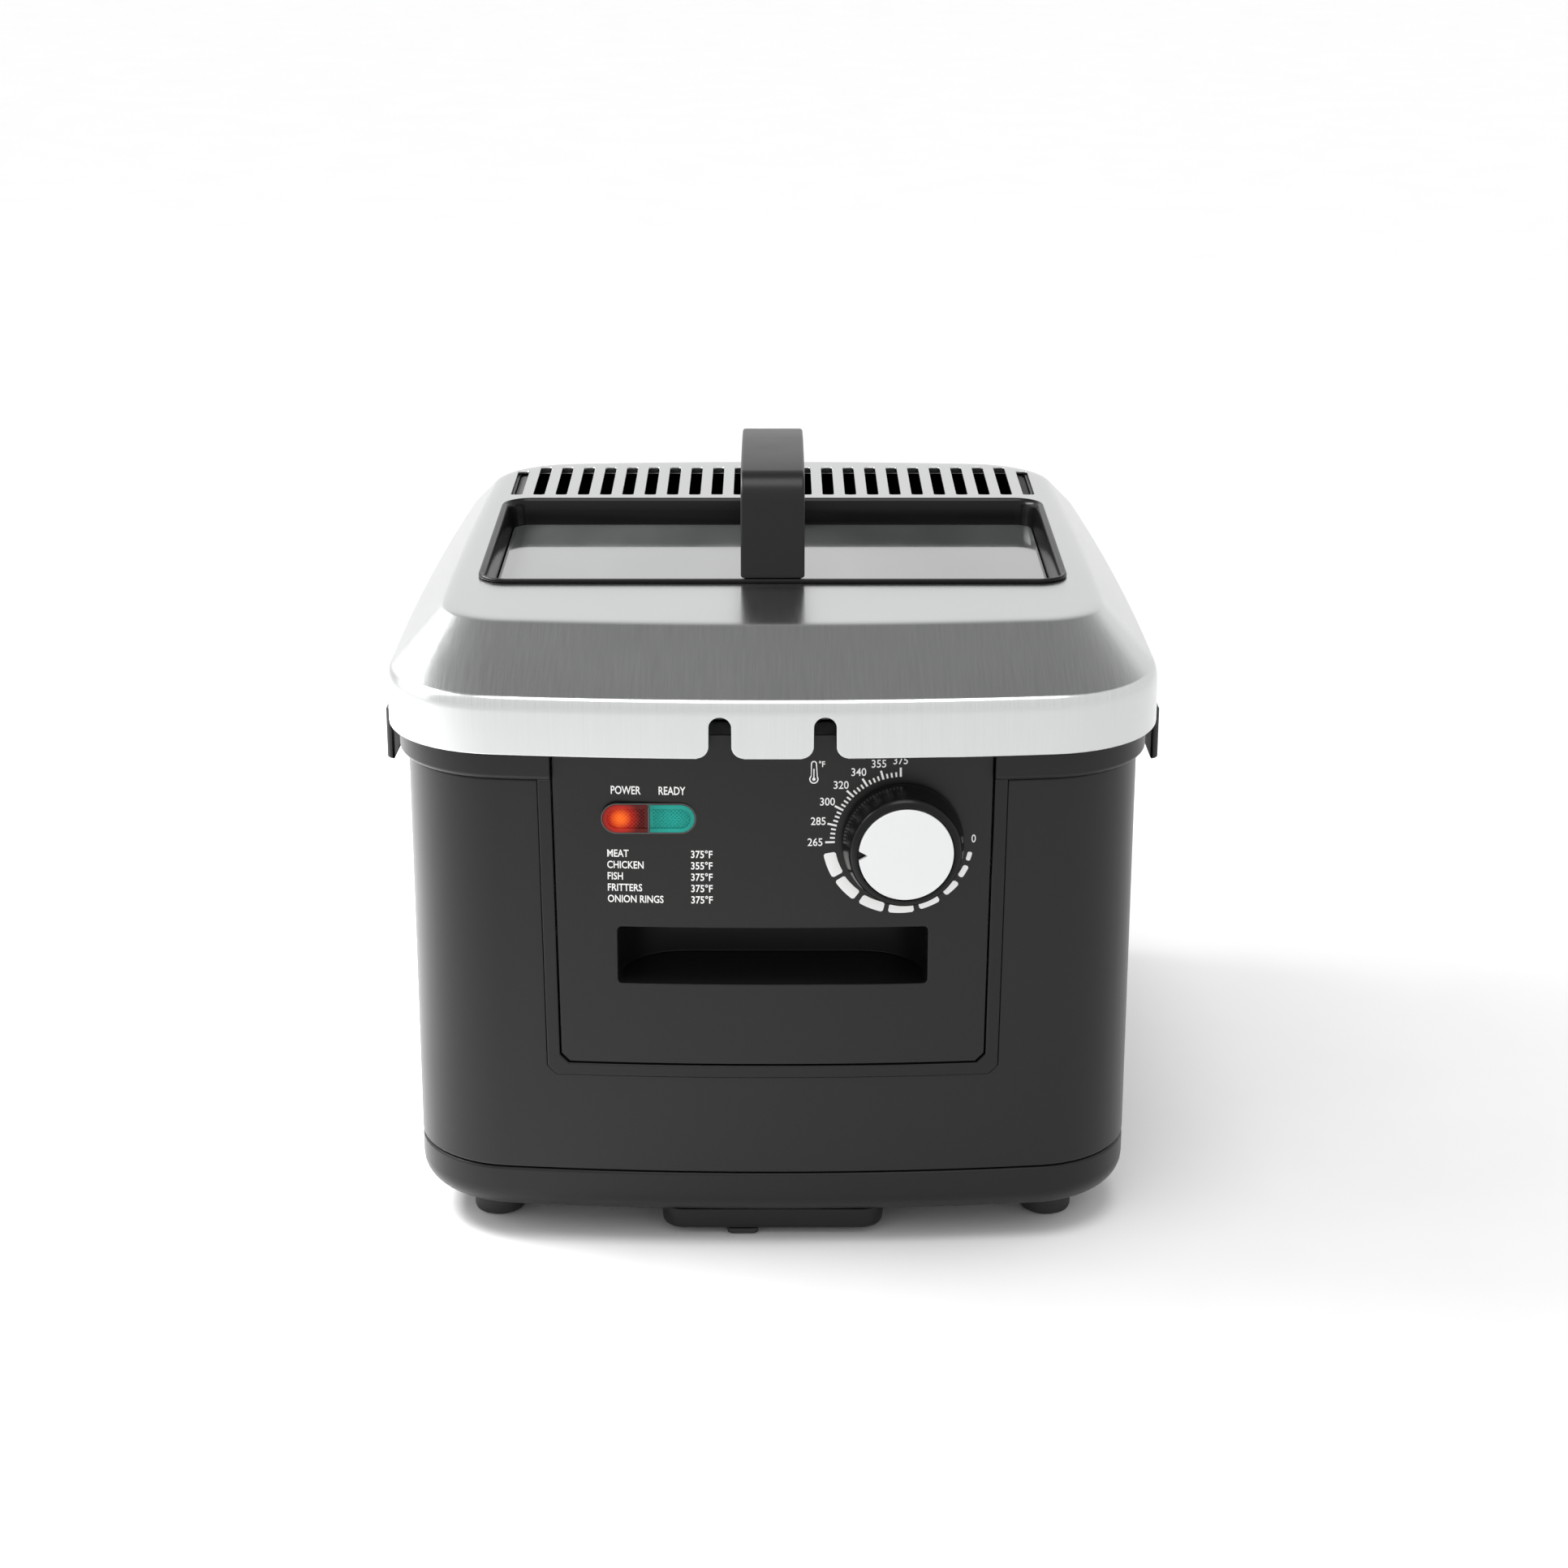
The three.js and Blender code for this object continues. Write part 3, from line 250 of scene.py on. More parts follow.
def along_y(points, y0, y1):
    """A shape drawn in (x, z), running along y."""
    return loft([[(x, y, z) for x, z in points] for y in (y0, y1)])


def along_x(points, x0, x1):
    """A shape drawn in (y, z), running along x."""
    return loft([[(x, y, z) for y, z in points] for x in (x0, x1)])


def block(x0, x1, y0, y1, z0, z1):
    return prism([(x0, y0), (x1, y0), (x1, y1), (x0, y1)], z0, z1)


def turned(profile, closed=False, sides=72):
    """A turned shape about z from points (radius, height)."""
    angles = [TAU * i / sides for i in range(sides)]
    return loft([[(r * math.cos(a), r * math.sin(a), h) for a in angles] for r, h in profile], closed)


def moved(shape, matrix):
    return [tuple(matrix @ Vector(p)) for p in shape[0]], shape[1]


def merged(shapes):
    points, faces = [], []
    for more_points, more_faces in shapes:
        faces += [tuple(i + len(points) for i in face) for face in more_faces]
        points += more_points
    return points, faces


def sweep(path, radius, sides=10, closed=False):
    """A round wire along a route of points."""
    path = [Vector(p) for p in path]
    count = len(path)
    normal = None
    rings = []
    for i, point in enumerate(path):
        if closed:
            tangent = (path[(i + 1) % count] - path[i - 1]).normalized()
        else:
            tangent = (path[min(i + 1, count - 1)] - path[max(i - 1, 0)]).normalized()
        if normal is None:
            normal = tangent.orthogonal().normalized()
        normal = (normal - tangent * normal.dot(tangent)).normalized()
        other = tangent.cross(normal)
        turns = [TAU * k / sides for k in range(sides)]
        rings.append([tuple(point + radius * (normal * math.cos(a) + other * math.sin(a))) for a in turns])
    return loft(rings, closed)


def rod(route, bend, radius, sides=14, steps=6):
    """A round wire along a route with rounded corners."""
    return sweep(bent(route, bend, steps), radius, sides)


# ---------------------------------------------------------------- solids in Blender

def solid(shape):
    """A Blender object from a shape, in metres in the row's frame, with its faces pointing out."""
    points, faces = shape
    mesh = bpy.data.meshes.new("work")
    mesh.from_pydata([(x * MM, (y + SHIFT) * MM, z * MM) for x, y, z in points], [], faces)
    obj = bpy.data.objects.new("work", mesh)
    bpy.context.scene.collection.objects.link(obj)
    tidy_mesh(mesh, 1e-6)
    return obj


def tidy_mesh(mesh, distance):
    work = bmesh.new()
    work.from_mesh(mesh)
    bmesh.ops.remove_doubles(work, verts=work.verts, dist=distance)
    bmesh.ops.recalc_face_normals(work, faces=work.faces)
    work.to_mesh(mesh)
    work.free()


def combine(target, tool, operation):
    """Cuts, joins or intersects, and leaves the result in target."""
    tool = tool if isinstance(tool, bpy.types.Object) else solid(tool)
    modifier = target.modifiers.new("combine", "BOOLEAN")
    modifier.operation = operation
    modifier.solver = "MANIFOLD"
    modifier.object = tool
    result = target.evaluated_get(bpy.context.evaluated_depsgraph_get())
    mesh = bpy.data.meshes.new_from_object(result)
    target.modifiers.clear()
    target.data = mesh
    bpy.data.objects.remove(tool)
    return target


def cut(target, *tools):
    for tool in tools:
        combine(target, tool, "DIFFERENCE")
    return target


def join(target, *tools):
    for tool in tools:
        combine(target, tool, "UNION")
    return target


def piece(shape, *nodes, name=None, bevel=0.4, segments=2, crease=32):
    """Makes the finished piece that stands for these CAD nodes, on their body and in their slot."""
    obj = shape if isinstance(shape, bpy.types.Object) else solid(shape)
    obj.name = name or f"{nodes[0]}_surface"
    obj.data.name = obj.name
    tidy_mesh(obj.data, 4e-6)
    for polygon in obj.data.polygons:
        polygon.use_smooth = True
    if bevel:
        edge = obj.modifiers.new("edges", "BEVEL")
        edge.limit_method = "ANGLE"
        edge.angle_limit = math.radians(crease)
        edge.width = bevel * MM
        edge.segments = segments
        edge.use_clamp_overlap = False
        weighted = obj.modifiers.new("normals", "WEIGHTED_NORMAL")
        weighted.keep_sharp = True
    else:
        obj.data.set_sharp_from_angle(angle=math.radians(crease))
    node = nodes[0]
    obj.data.materials.clear()
    obj.data.materials.append(materials[SLOT_OF[node]])
    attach(obj, BODY_OF[node])
    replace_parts(obj, *nodes)
    return obj


def wire_piece(shape, node):
    return piece(shape, node, bevel=0, crease=60)


def refined(node, bevel=0.35, segments=2):
    """A CAD node's own shape with its facets joined and its edges rounded."""
    obj = frame["nodes"][node].copy()
    obj.data = frame["nodes"][node].data.copy()
    obj.parent = None
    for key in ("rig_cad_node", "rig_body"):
        del obj[key]
    bpy.context.scene.collection.objects.link(obj)
    if "custom_normal" in obj.data.attributes:
        obj.data.attributes.remove(obj.data.attributes["custom_normal"])
    work = bmesh.new()
    work.from_mesh(obj.data)
    bmesh.ops.remove_doubles(work, verts=work.verts, dist=2e-5)
    bmesh.ops.dissolve_limit(work, angle_limit=math.radians(1), verts=work.verts, edges=work.edges)
    work.to_mesh(obj.data)
    work.free()
    return piece(obj, node, bevel=bevel, segments=segments)


# ---------------------------------------------------------------- materials

def shader(name, **fixed):
    """A new material, its node tree and its Principled shader, with these values fixed."""
    material = bpy.data.materials.new(name)
    material.use_nodes = True
    principled = material.node_tree.nodes["Principled BSDF"]
    for key, value in fixed.items():
        principled.inputs[key.replace("_", " ")].default_value = value
    return material, material.node_tree, principled


def feed(tree, principled, **values):
    """Links values to the shader's inputs."""
    for key, value in values.items():
        tree.links.new(value, principled.inputs[key.replace("_", " ")])


def add(tree, kind, **inputs):
    node = tree.nodes.new("ShaderNode" + kind)
    for key, value in inputs.items():
        node.inputs[key.replace("_", " ")].default_value = value
    return node


def noise(tree, vector, scale, detail=3.0, stretch=(1, 1, 1)):
    """Noise in the row's frame; scale counts features in a metre."""
    mapping = add(tree, "Mapping", Scale=stretch)
    tree.links.new(vector, mapping.inputs["Vector"])
    texture = add(tree, "TexNoise", Scale=scale, Detail=detail, Roughness=0.6)
    tree.links.new(mapping.outputs["Vector"], texture.inputs["Vector"])
    return texture.outputs["Fac"]


def ranged(tree, value, low, high, from_low=0.3, from_high=0.7):
    node = add(tree, "MapRange", From_Min=from_low, From_Max=from_high, To_Min=low, To_Max=high)
    tree.links.new(value, node.inputs["Value"])
    return node.outputs["Result"]


def tinted(tree, value, low, high):
    """A colour between two, chosen by a value."""
    node = tree.nodes.new("ShaderNodeMix")
    node.data_type = "RGBA"
    tree.links.new(value, node.inputs["Factor"])
    node.inputs["A"].default_value = (*low, 1)
    node.inputs["B"].default_value = (*high, 1)
    return node.outputs["Result"]


def computed(tree, operation, *values):
    node = tree.nodes.new("ShaderNodeMath")
    node.operation = operation
    for value, socket in zip(values, node.inputs):
        tree.links.new(value, socket)
    return node.outputs["Value"]


def ramped(tree, value, first, between, last):
    """A colour chosen by a value from 0 to 1: the first, those between at (place, colour), the last."""
    node = tree.nodes.new("ShaderNodeValToRGB")
    stops = node.color_ramp.elements
    stops[0].color, stops[1].color = (*first, 1), (*last, 1)
    for place, color in between:
        stops.new(place).color = (*color, 1)
    tree.links.new(value, node.inputs["Fac"])
    return node.outputs["Color"]


def bumped(tree, principled, height, strength, distance):
    bump = add(tree, "Bump", Strength=strength, Distance=distance * MM)
    tree.links.new(height, bump.inputs["Height"])
    tree.links.new(bump.outputs["Normal"], principled.inputs["Normal"])


def surface(name, color, spread, roughness, grain, bump, cloud=12.0, metallic=0.0, **fixed):
    """Moulded or plated surface: a fine grain and soft clouding in colour and gloss."""
    material, tree, principled = shader(name, Metallic=metallic, **fixed)
    place = add(tree, "TexCoord").outputs["Object"]
    clouds = noise(tree, place, cloud)
    fine = noise(tree, place, grain, 2.0)
    low, high = ([max(0.0, c * (1 - spread)) for c in color], [min(1.0, c * (1 + spread)) for c in color])
    feed(tree, principled, Base_Color=tinted(tree, ranged(tree, clouds, 0, 1), low, high),
         Roughness=ranged(tree, clouds, *roughness))
    bumped(tree, principled, fine, bump, 0.05)
    return material


def brushed(name, color, roughness, line, bump):
    """Brushed sheet: fine lines from front to back and down the skirt, level ones on the sides."""
    material, tree, principled = shader(name, Metallic=1.0)
    coordinates = add(tree, "TexCoord")
    place, facing = coordinates.outputs["Object"], coordinates.outputs["Normal"]
    lengthways = noise(tree, place, line, 4.0, (1, 0.015, 0.015))
    level_lines = noise(tree, place, line, 4.0, (0.015, 0.015, 1))
    split = add(tree, "SeparateXYZ")
    tree.links.new(facing, split.inputs["Vector"])
    sideways = computed(tree, "ABSOLUTE", split.outputs["X"])
    mix = tree.nodes.new("ShaderNodeMix")
    tree.links.new(ranged(tree, sideways, 0, 1, 0.6, 0.85), mix.inputs["Factor"])
    tree.links.new(lengthways, mix.inputs["A"])
    tree.links.new(level_lines, mix.inputs["B"])
    lines = mix.outputs["Result"]
    clouds = noise(tree, place, 9.0)
    low, high = [c * 0.965 for c in color], [min(1.0, c * 1.03) for c in color]
    rough = computed(tree, "ADD", ranged(tree, lines, *roughness), ranged(tree, clouds, -0.015, 0.02))
    feed(tree, principled, Base_Color=tinted(tree, ranged(tree, lines, 0, 1), low, high), Roughness=rough)
    bumped(tree, principled, lines, bump, 0.01)
    return material


def glass(name):
    """The lid's toughened glass: a grey base colour that is painted reflection of the bright room as well as
    a faint tint, a soft film, and faint smears that vary it.
    """
    material, tree, principled = shader(name, Transmission_Weight=0.25, IOR=1.52, Coat_Weight=1.0,
                                        Coat_Roughness=0.04)
    place = add(tree, "TexCoord").outputs["Object"]
    smears_and_painted_reflection = noise(tree, place, 26.0, 4.0, (1, 0.35, 1))
    # Painted reflection: this grey base colour stands in partly for the room mirrored in the glass; the noise
    # varies that grey and the gloss like faint smears.
    tint = tinted(tree, ranged(tree, smears_and_painted_reflection, 0, 1), (0.095, 0.1, 0.1), (0.13, 0.135, 0.135))
    feed(tree, principled, Base_Color=tint, Roughness=ranged(tree, smears_and_painted_reflection, 0.05, 0.12))
    return material


def lens(name, side, deep, color, glow, strength, reach):
    """A tinted lamp lens, brightest in front of its lamp, which is this far aside of the middle."""
    material, tree, principled = shader(name, Specular_IOR_Level=0.2, Emission_Strength=strength)
    place = add(tree, "TexCoord").outputs["Object"]
    away = tree.nodes.new("ShaderNodeVectorMath")
    away.operation = "DISTANCE"
    tree.links.new(place, away.inputs[0])
    away.inputs[1].default_value = ((lamp_x + side) * MM, (bowed(lamp_x) + SHIFT) * MM, lamp_z * MM)
    near_lamp = ranged(tree, away.outputs["Value"], 1, 0, 0.0012, reach)
    tint = ramped(tree, near_lamp, deep, [(0.5, color)], glow)
    fine = noise(tree, place, 900.0, 2.0)
    feed(tree, principled, Base_Color=tint, Emission_Color=tint, Roughness=ranged(tree, fine, 0.1, 0.2))
    return material


def heated(name):
    """The element's sheath: steel tinted by heat, browner in patches."""
    material, tree, principled = shader(name, Metallic=1.0)
    place = add(tree, "TexCoord").outputs["Object"]
    patches = noise(tree, place, 22.0, 4.0)
    tint = tinted(tree, ranged(tree, patches, 0, 1), (0.13, 0.115, 0.105), (0.36, 0.33, 0.30))
    feed(tree, principled, Base_Color=tint, Roughness=ranged(tree, patches, 0.28, 0.48))
    bumped(tree, principled, noise(tree, place, 1400.0, 2.0), 0.25, 0.05)
    return material


materials = {
    "brushed_steel": brushed("lid_steel", (0.61, 0.625, 0.615), (0.2, 0.25), 2600.0, 0.035),
    "tank_steel": brushed("tank_steel", (0.64, 0.645, 0.64), (0.24, 0.34), 1100.0, 0.12),
    "bright_wire": surface("bright_wire", (0.78, 0.78, 0.77), 0.05, (0.1, 0.2), 900.0, 0.08, metallic=1.0),
    "black_plastic": surface("black_plastic", (0.0085, 0.0078, 0.0075), 0.08, (0.3, 0.36), 2600.0, 0.2,
                             Specular_IOR_Level=0.3),
    "dark_plastic": surface("dark_plastic", (0.0075, 0.007, 0.0068), 0.08, (0.31, 0.38), 2600.0, 0.2,
                            Specular_IOR_Level=0.28),
    "gloss_black": surface("gloss_black", (0.004, 0.0038, 0.0038), 0.1, (0.2, 0.28), 500.0, 0.04,
                           Specular_IOR_Level=0.2),
    "silver_cap": surface("silver_cap", (0.72, 0.73, 0.73), 0.015, (0.5, 0.58), 1800.0, 0.1, metallic=0.2),
    "clear_glass": glass("lid_glass"),
    "red_lens": lens("red_lens", -10.3, (0.07, 0.003, 0.002), (0.36, 0.013, 0.005), (0.85, 0.15, 0.013),
                     0.25, 0.0075),
    "green_lens": lens("green_lens", 9.0, (0.004, 0.12, 0.1), (0.008, 0.22, 0.18), (0.015, 0.32, 0.27),
                       0.1, 0.014),
    "clear_lens": surface("clear_lens", (0.05, 0.045, 0.042), 0.1, (0.1, 0.2), 800.0, 0.05,
                          Coat_Weight=0.3, Coat_Roughness=0.05),
    "rubber": surface("rubber", (0.018, 0.018, 0.018), 0.15, (0.65, 0.8), 1800.0, 0.4, cloud=60.0),
    "element_steel": heated("element_steel"),
    "filter_foam": surface("filter_foam", (0.02, 0.02, 0.02), 0.5, (0.85, 0.95), 420.0, 1.0, cloud=300.0,
                           Sheen_Weight=0.2),
    "steel": surface("zinc_steel", (0.52, 0.53, 0.54), 0.12, (0.3, 0.45), 1200.0, 0.15, cloud=45.0,
                     metallic=1.0),
    "cable_sheath": surface("cable_sheath", (0.025, 0.024, 0.024), 0.1, (0.5, 0.6), 1500.0, 0.2),
    "button_red": surface("button_red", (0.5, 0.035, 0.02), 0.08, (0.3, 0.4), 1500.0, 0.15),
}
ink = surface("panel_ink", (0.82, 0.82, 0.81), 0.03, (0.5, 0.6), 1500.0, 0.1)


# ---------------------------------------------------------------- casing

def body_line(grow):
    return outline(body, grow)


def pot_line(grow):
    return outline(pot_plan, grow)


def panel_shape(grow, top=panel["top"]):
    """The control panel's outline in (x, z), grown by an amount."""
    low, chamfer = panel["bottom"] - grow, panel["chamfer"]
    wide, narrow = panel["top_half"] + grow, panel["bottom_half"] + grow
    return [(-narrow + chamfer, low), (narrow - chamfer, low), (narrow, low + chamfer), (wide, top),
            (-wide, top), (-narrow, low + chamfer)]


def casing():
    low, high = cad("housing_shell")[2]
    round_off = 0.7
    rings = [(0, low + round_off), (-round_off, low), (-WALL, low), (-WALL, high), (-round_off, high),
             (0, high - round_off)]
    shell = solid(loft(stack(body_line, rings), closed=True))
    (x0, x1), _, (z0, z1) = cad("inlet_socket")
    bay = along_y(panel_shape(5.3, high + 5), front_face - 5, front_face + 12)
    inlet = block(x0 + 2, x1 - 2, back_face - 13, back_face + 7, z0 + 2, z1 - 2)
    piece(cut(shell, bay, inlet), "housing_shell", bevel=0.5)


def collar():
    """The band under the lid with its inner flange, and the frame round the panel's bay."""
    bottom, top = cad("housing_shell")[2][1] + GAP, cad("rim_collar")[2][1]
    shoulder = top - 3.6
    rings = stack(body_line, [(2.0, bottom), (3.2, bottom + 1.4), (3.2, shoulder - 0.7), (2.5, shoulder),
                              (0.8, shoulder), (0.8, top - 0.4), (0.4, top)])
    rings += stack(pot_line, [(2.0, top), (1.6, top - 0.4), (1.6, top - 1.5)])
    rings += stack(body_line, [(-2, top - 1.5), (-2, bottom)])
    band = solid(loft(rings, closed=True))
    border = solid(along_y(panel_shape(5.25, bottom + 1), front_face - 5, -140))
    combine(border, prism(body_line(0.9), 60, 195), "INTERSECT")
    cut(border, prism(body_line(-2.5), 50, 200))
    join(band, border)
    cut(band, along_y(panel_shape(0.5, top + 5), front_face - 6, cad("control_box")[1][1] + 1))
    piece(band, "rim_collar", bevel=0.55, segments=3)


def base():
    """The base tray: a rounded skirt, a floor with an opening, and four screw bosses."""
    bottom, seam = cad("base_tray")[2][0], cad("housing_shell")[2][0] - GAP
    fillet, half_wide, half_deep = 10, 72, 92
    rings = [(-fillet - 3, bottom + WALL), (-WALL - 2, bottom + fillet), (-WALL, seam - 8), (-WALL, seam),
             (-0.8, seam), (0, seam - 0.8)]
    turns = [TAU / 4 * (1 - i / 8) for i in range(9)]
    rings += [(-fillet * (1 - math.sin(a)), bottom + fillet * (1 - math.cos(a))) for a in turns]
    tray = solid(loft(stack(body_line, rings)))
    cut(tray, block(-half_wide, half_wide, -half_deep, half_deep, bottom - 1, bottom + WALL + 1))
    screws = [cad(f"base_screw_{place}") for place in CORNERS]
    centres = [(middle(x), middle(y)) for x, y, _ in screws]
    boss, hole, boss_top = 5, 2.1, cad("heat_shield")[2][0] - GAP
    join(tray, merged([prism(disc(c, boss, 24), bottom + 1, boss_top) for c in centres]))
    cut(tray, merged([prism(disc(c, hole), bottom - 1, bottom + 11) for c in centres]))
    piece(tray, "base_tray", bevel=0.3)


def feet():
    for place in CORNERS:
        (x0, x1), y, (low, high) = cad(f"foot_{place}")
        radius = (x1 - x0) / 2
        profile = [(0, low + 0.5), (radius - 4, low + 0.5), (radius - 3.4, low), (radius - 1.6, low),
                   (radius - 0.5, low + 0.6), (radius, low + 1.8), (radius, high - 3), (radius - 1.5, high),
                   (0, high)]
        spot = Matrix.Translation((middle((x0, x1)), middle(y), 0))
        piece(moved(turned(profile, sides=56), spot), f"foot_{place}", bevel=0)


def skid():
    """The block under the front edge, tapering downwards, and its small pad."""
    (x0, x1), (y0, y1), (low, high) = cad("front_skid")
    corner, centre = 9, (middle((x0, x1)), middle((y0, y1)))
    line = inset_box((x1 - x0) / 2, (y1 - y0) / 2, corner, centre)
    rings = stack(line, [(2.4, low), (1.2, low + 0.8), (0.6, low + 2.2), (0, high)])
    piece(loft(rings), "front_skid", bevel=0.2)
    refined("skid_pad", 0.6, 3)


def side_handle(side):
    """A plate under the lid with a lip that the fingers hook behind."""
    node = "carry_handle_right" if side > 0 else "carry_handle_left"
    _, (y0, y1), (low, high) = cad("carry_handle_right")
    reach, plate, lip, start = 11, high - 6, 3, 3.2 + GAP
    edge = body["side"][0] + reach
    near_corner = curve((edge - 3.5, y0), (edge + 0.2, y0 + 0.1), (edge + 0.6, y0 + 5), 8)
    far_corner = curve((edge + 0.6, y1 - 14), (edge - 2, y1 - 1), (edge - 12, y1), 10)
    plan = [(80, y0), (edge - 3.5, y0)] + near_corner + [(edge + 0.6, y1 - 14)] + far_corner + [(80, y1)]
    handle = solid(prism(body_line(reach), low, high))
    combine(handle, prism(plan, low - 1, high + 1), "INTERSECT")
    cut(handle, prism(body_line(start), low - 2, high + 2))
    hollow = solid(prism(body_line(reach - lip), low - 1, plate))
    cut(hollow, prism(body_line(start + 1.6), cad("housing_shell")[2][1], plate + 1))
    cut(handle, hollow)
    if side < 0:
        for vertex in handle.data.vertices:
            vertex.co.x = -vertex.co.x
    piece(handle, node, bevel=0.9, segments=3)


# ---------------------------------------------------------------- lid

def rounded_edge(first, corner, last, reach_in, reach_out, steps=6):
    """Rings that round the ridge where two lofted faces meet, within a reach each way."""
    rings = []
    for i in range(steps + 1):
        t = i / steps
        ring = []
        for a, b, c in zip(first, corner, last):
            a, b, c = Vector(a), Vector(b), Vector(c)
            start = b + (a - b).normalized() * reach_in
            end = b + (c - b).normalized() * reach_out
            ring.append(tuple((1 - t) ** 2 * start + 2 * t * (1 - t) * b + t * t * end))
        rings.append(ring)
    return rings


def lid_line(inset):
    return body_line(lid_proud - inset)


def window_line(inset, steps=10):
    y0, y1 = window["y"]
    return rounded(window["half"] - inset, (y1 - y0) / 2 - inset, window["corner"] - inset,
                   (0, (y0 + y1) / 2), steps)


def lid():
    """Pressed sheet: a skirt with a rolled hem, a long slope at the front, a flat top."""
    hem, top = lid_z
    bend = hem + 21.3
    top_line = lambda inset: outline(flat_top, -inset)
    inside = stack(top_line, [(6, top - SHEET), (0.5, top - SHEET)])
    inside += stack(lid_line, [(2.6 + SHEET, bend - 1.2), (SHEET, bend - 4.5), (SHEET, hem + SHEET),
                               (5.4, hem + SHEET)])
    skirt = [(5.4, hem), (0.8, hem), (0.25, hem + 0.2), (0, hem + 0.7), (0, bend - 5)]
    outside = stack(lid_line, skirt)
    ridge = level(lid_line(0.35), bend + 0.25)
    plateau = level(top_line(0), top)
    outside += rounded_edge(outside[-1], ridge, plateau, 4.2, 2.8, 9)
    outside += rounded_edge(ridge, plateau, level(top_line(12), top), 2.4, 5.0)
    outside.append(level(top_line(9), top))
    shell = solid(loft(inside + outside))
    cut(shell, prism(window_line(1), top - 10, top + 5))
    cut(shell, vents(top), notches(hem))
    piece(shell, "lid_shell", bevel=0.28)


def vents(top):
    """The row of slots; the outermost two are shorter."""
    count, pitch, half, near, far, short_by = 24, 9.7, 2.45, 91.5, 144.5, 8
    slots = []
    for i in range(count):
        x = (i - (count - 1) / 2) * pitch
        end = far - (short_by if i in (0, count - 1) else 0)
        plan = rounded(half, (end - near) / 2, 1.3, (x, (near + end) / 2), 4)
        slots.append(prism(plan, top - 5, top + 5))
    return merged(slots)


def notches(hem):
    """The two notches for the basket handle's wires, flared at the hem."""
    shapes = []
    for x in (-19, 19):
        half, high = 4.1, hem + 16
        right = [(x + half + 4.2, hem - 2), (x + half + 4.2, hem + 0.4)]
        right += curve(right[-1], (x + half + 0.6, hem + 1.1), (x + half, hem + 4.4), 6)
        crown = arc((x, high - half), half, 0, TAU / 2, 16)
        left = [(2 * x - px, pz) for px, pz in reversed(right)]
        shapes.append(along_y(right + crown[1:] + left, -180, -150))
    return merged(shapes)


def stud_holes(low, high):
    """Holes for the two studs that hold the handle."""
    centres = [(0, middle(cad(node)[1])) for node in ("handle_stud_front", "handle_stud_rear")]
    return merged([prism(disc(centre, STUD_HOLE), low, high) for centre in centres])


def bezel():
    """The black frame: a lip on the steel, a wall through the opening and a ledge under the glass."""
    top = cad("window_bezel")[2][1]
    steel_top, seat = lid_z[1] + GAP, cad("glass_gasket")[2][0] - GAP
    glass_top = cad("lid_glass")[2][1]
    profile = [(0, steel_top), (0, top - 0.7), (0.12, top - 0.3), (0.45, top - 0.05), (0.9, top),
               (1.5, top - 0.1), (2.1, top - 0.5), (2.7, top - 1.2), (3.2, top - 2.6), (3.6, top - 5),
               (4.4, glass_top + GAP), (4.4, seat), (9.4, seat), (9.4, seat - 2), (1.3, seat - 2),
               (1.3, steel_top)]
    ring = solid(loft(stack(window_line, profile), closed=True))
    (y0, y1), pad_low, half = window["y"], glass_top + 2.3, 11
    ends = ((y0 + 2, y0 + 11), (y1 - 11, y1 - 2))
    pads = [block(-half, half, near, far, pad_low, top) for near, far in ends]
    holes = stud_holes(cad("handle_stud_front")[2][0] - GAP, top + 1)
    piece(cut(join(ring, merged(pads)), holes), "window_bezel", bevel=0.2)


def pane():
    low, high = cad("lid_glass")[2]
    inset = window["half"] - cad("lid_glass")[0][1]
    piece(prism(window_line(inset), low, high), "lid_glass", bevel=0.5, segments=3)


def handle():
    """The arch over the window, with a broad front leg and softly rounded edges."""
    (x0, x1), (front, back), (seat, top) = cad("lid_handle")
    thick = 13
    inner = [(front, seat), (front + 9, seat), (front + 14, top - thick - 16)]
    inner += curve(inner[-1], (front + 17, top - thick - 2), (front + 34, top - thick), 10)
    inner += [(back - 38, top - thick - 3)]
    inner += curve(inner[-1], (back - 17, top - thick - 7), (back - 14, top - thick - 18), 10)
    outer = [(back - 9, seat), (back, seat), (back - 5, top - 24)]
    outer += curve(outer[-1], (back - 9, top - 7), (back - 30, top - 4), 10)
    outer += curve(outer[-1], (10, top + 1), (front + 16, top - 0.6), 12)
    outer += curve(outer[-1], (front + 6, top - 1.4), (front + 4, top - 12), 10)
    arch = solid(along_x(inner + outer, x0, x1))
    piece(cut(arch, stud_holes(seat - 1, seat + 10)), "lid_handle", bevel=1.1, segments=4, crease=40)


# ---------------------------------------------------------------- control panel

def capsule(inset, steps=12):
    (x0, x1), _, (z0, z1) = cad("lamp_bezel")
    half = (z1 - z0) / 2 - inset
    return rounded((x1 - x0) / 2 - inset, half, half - 0.01, (lamp_x, lamp_z), steps)


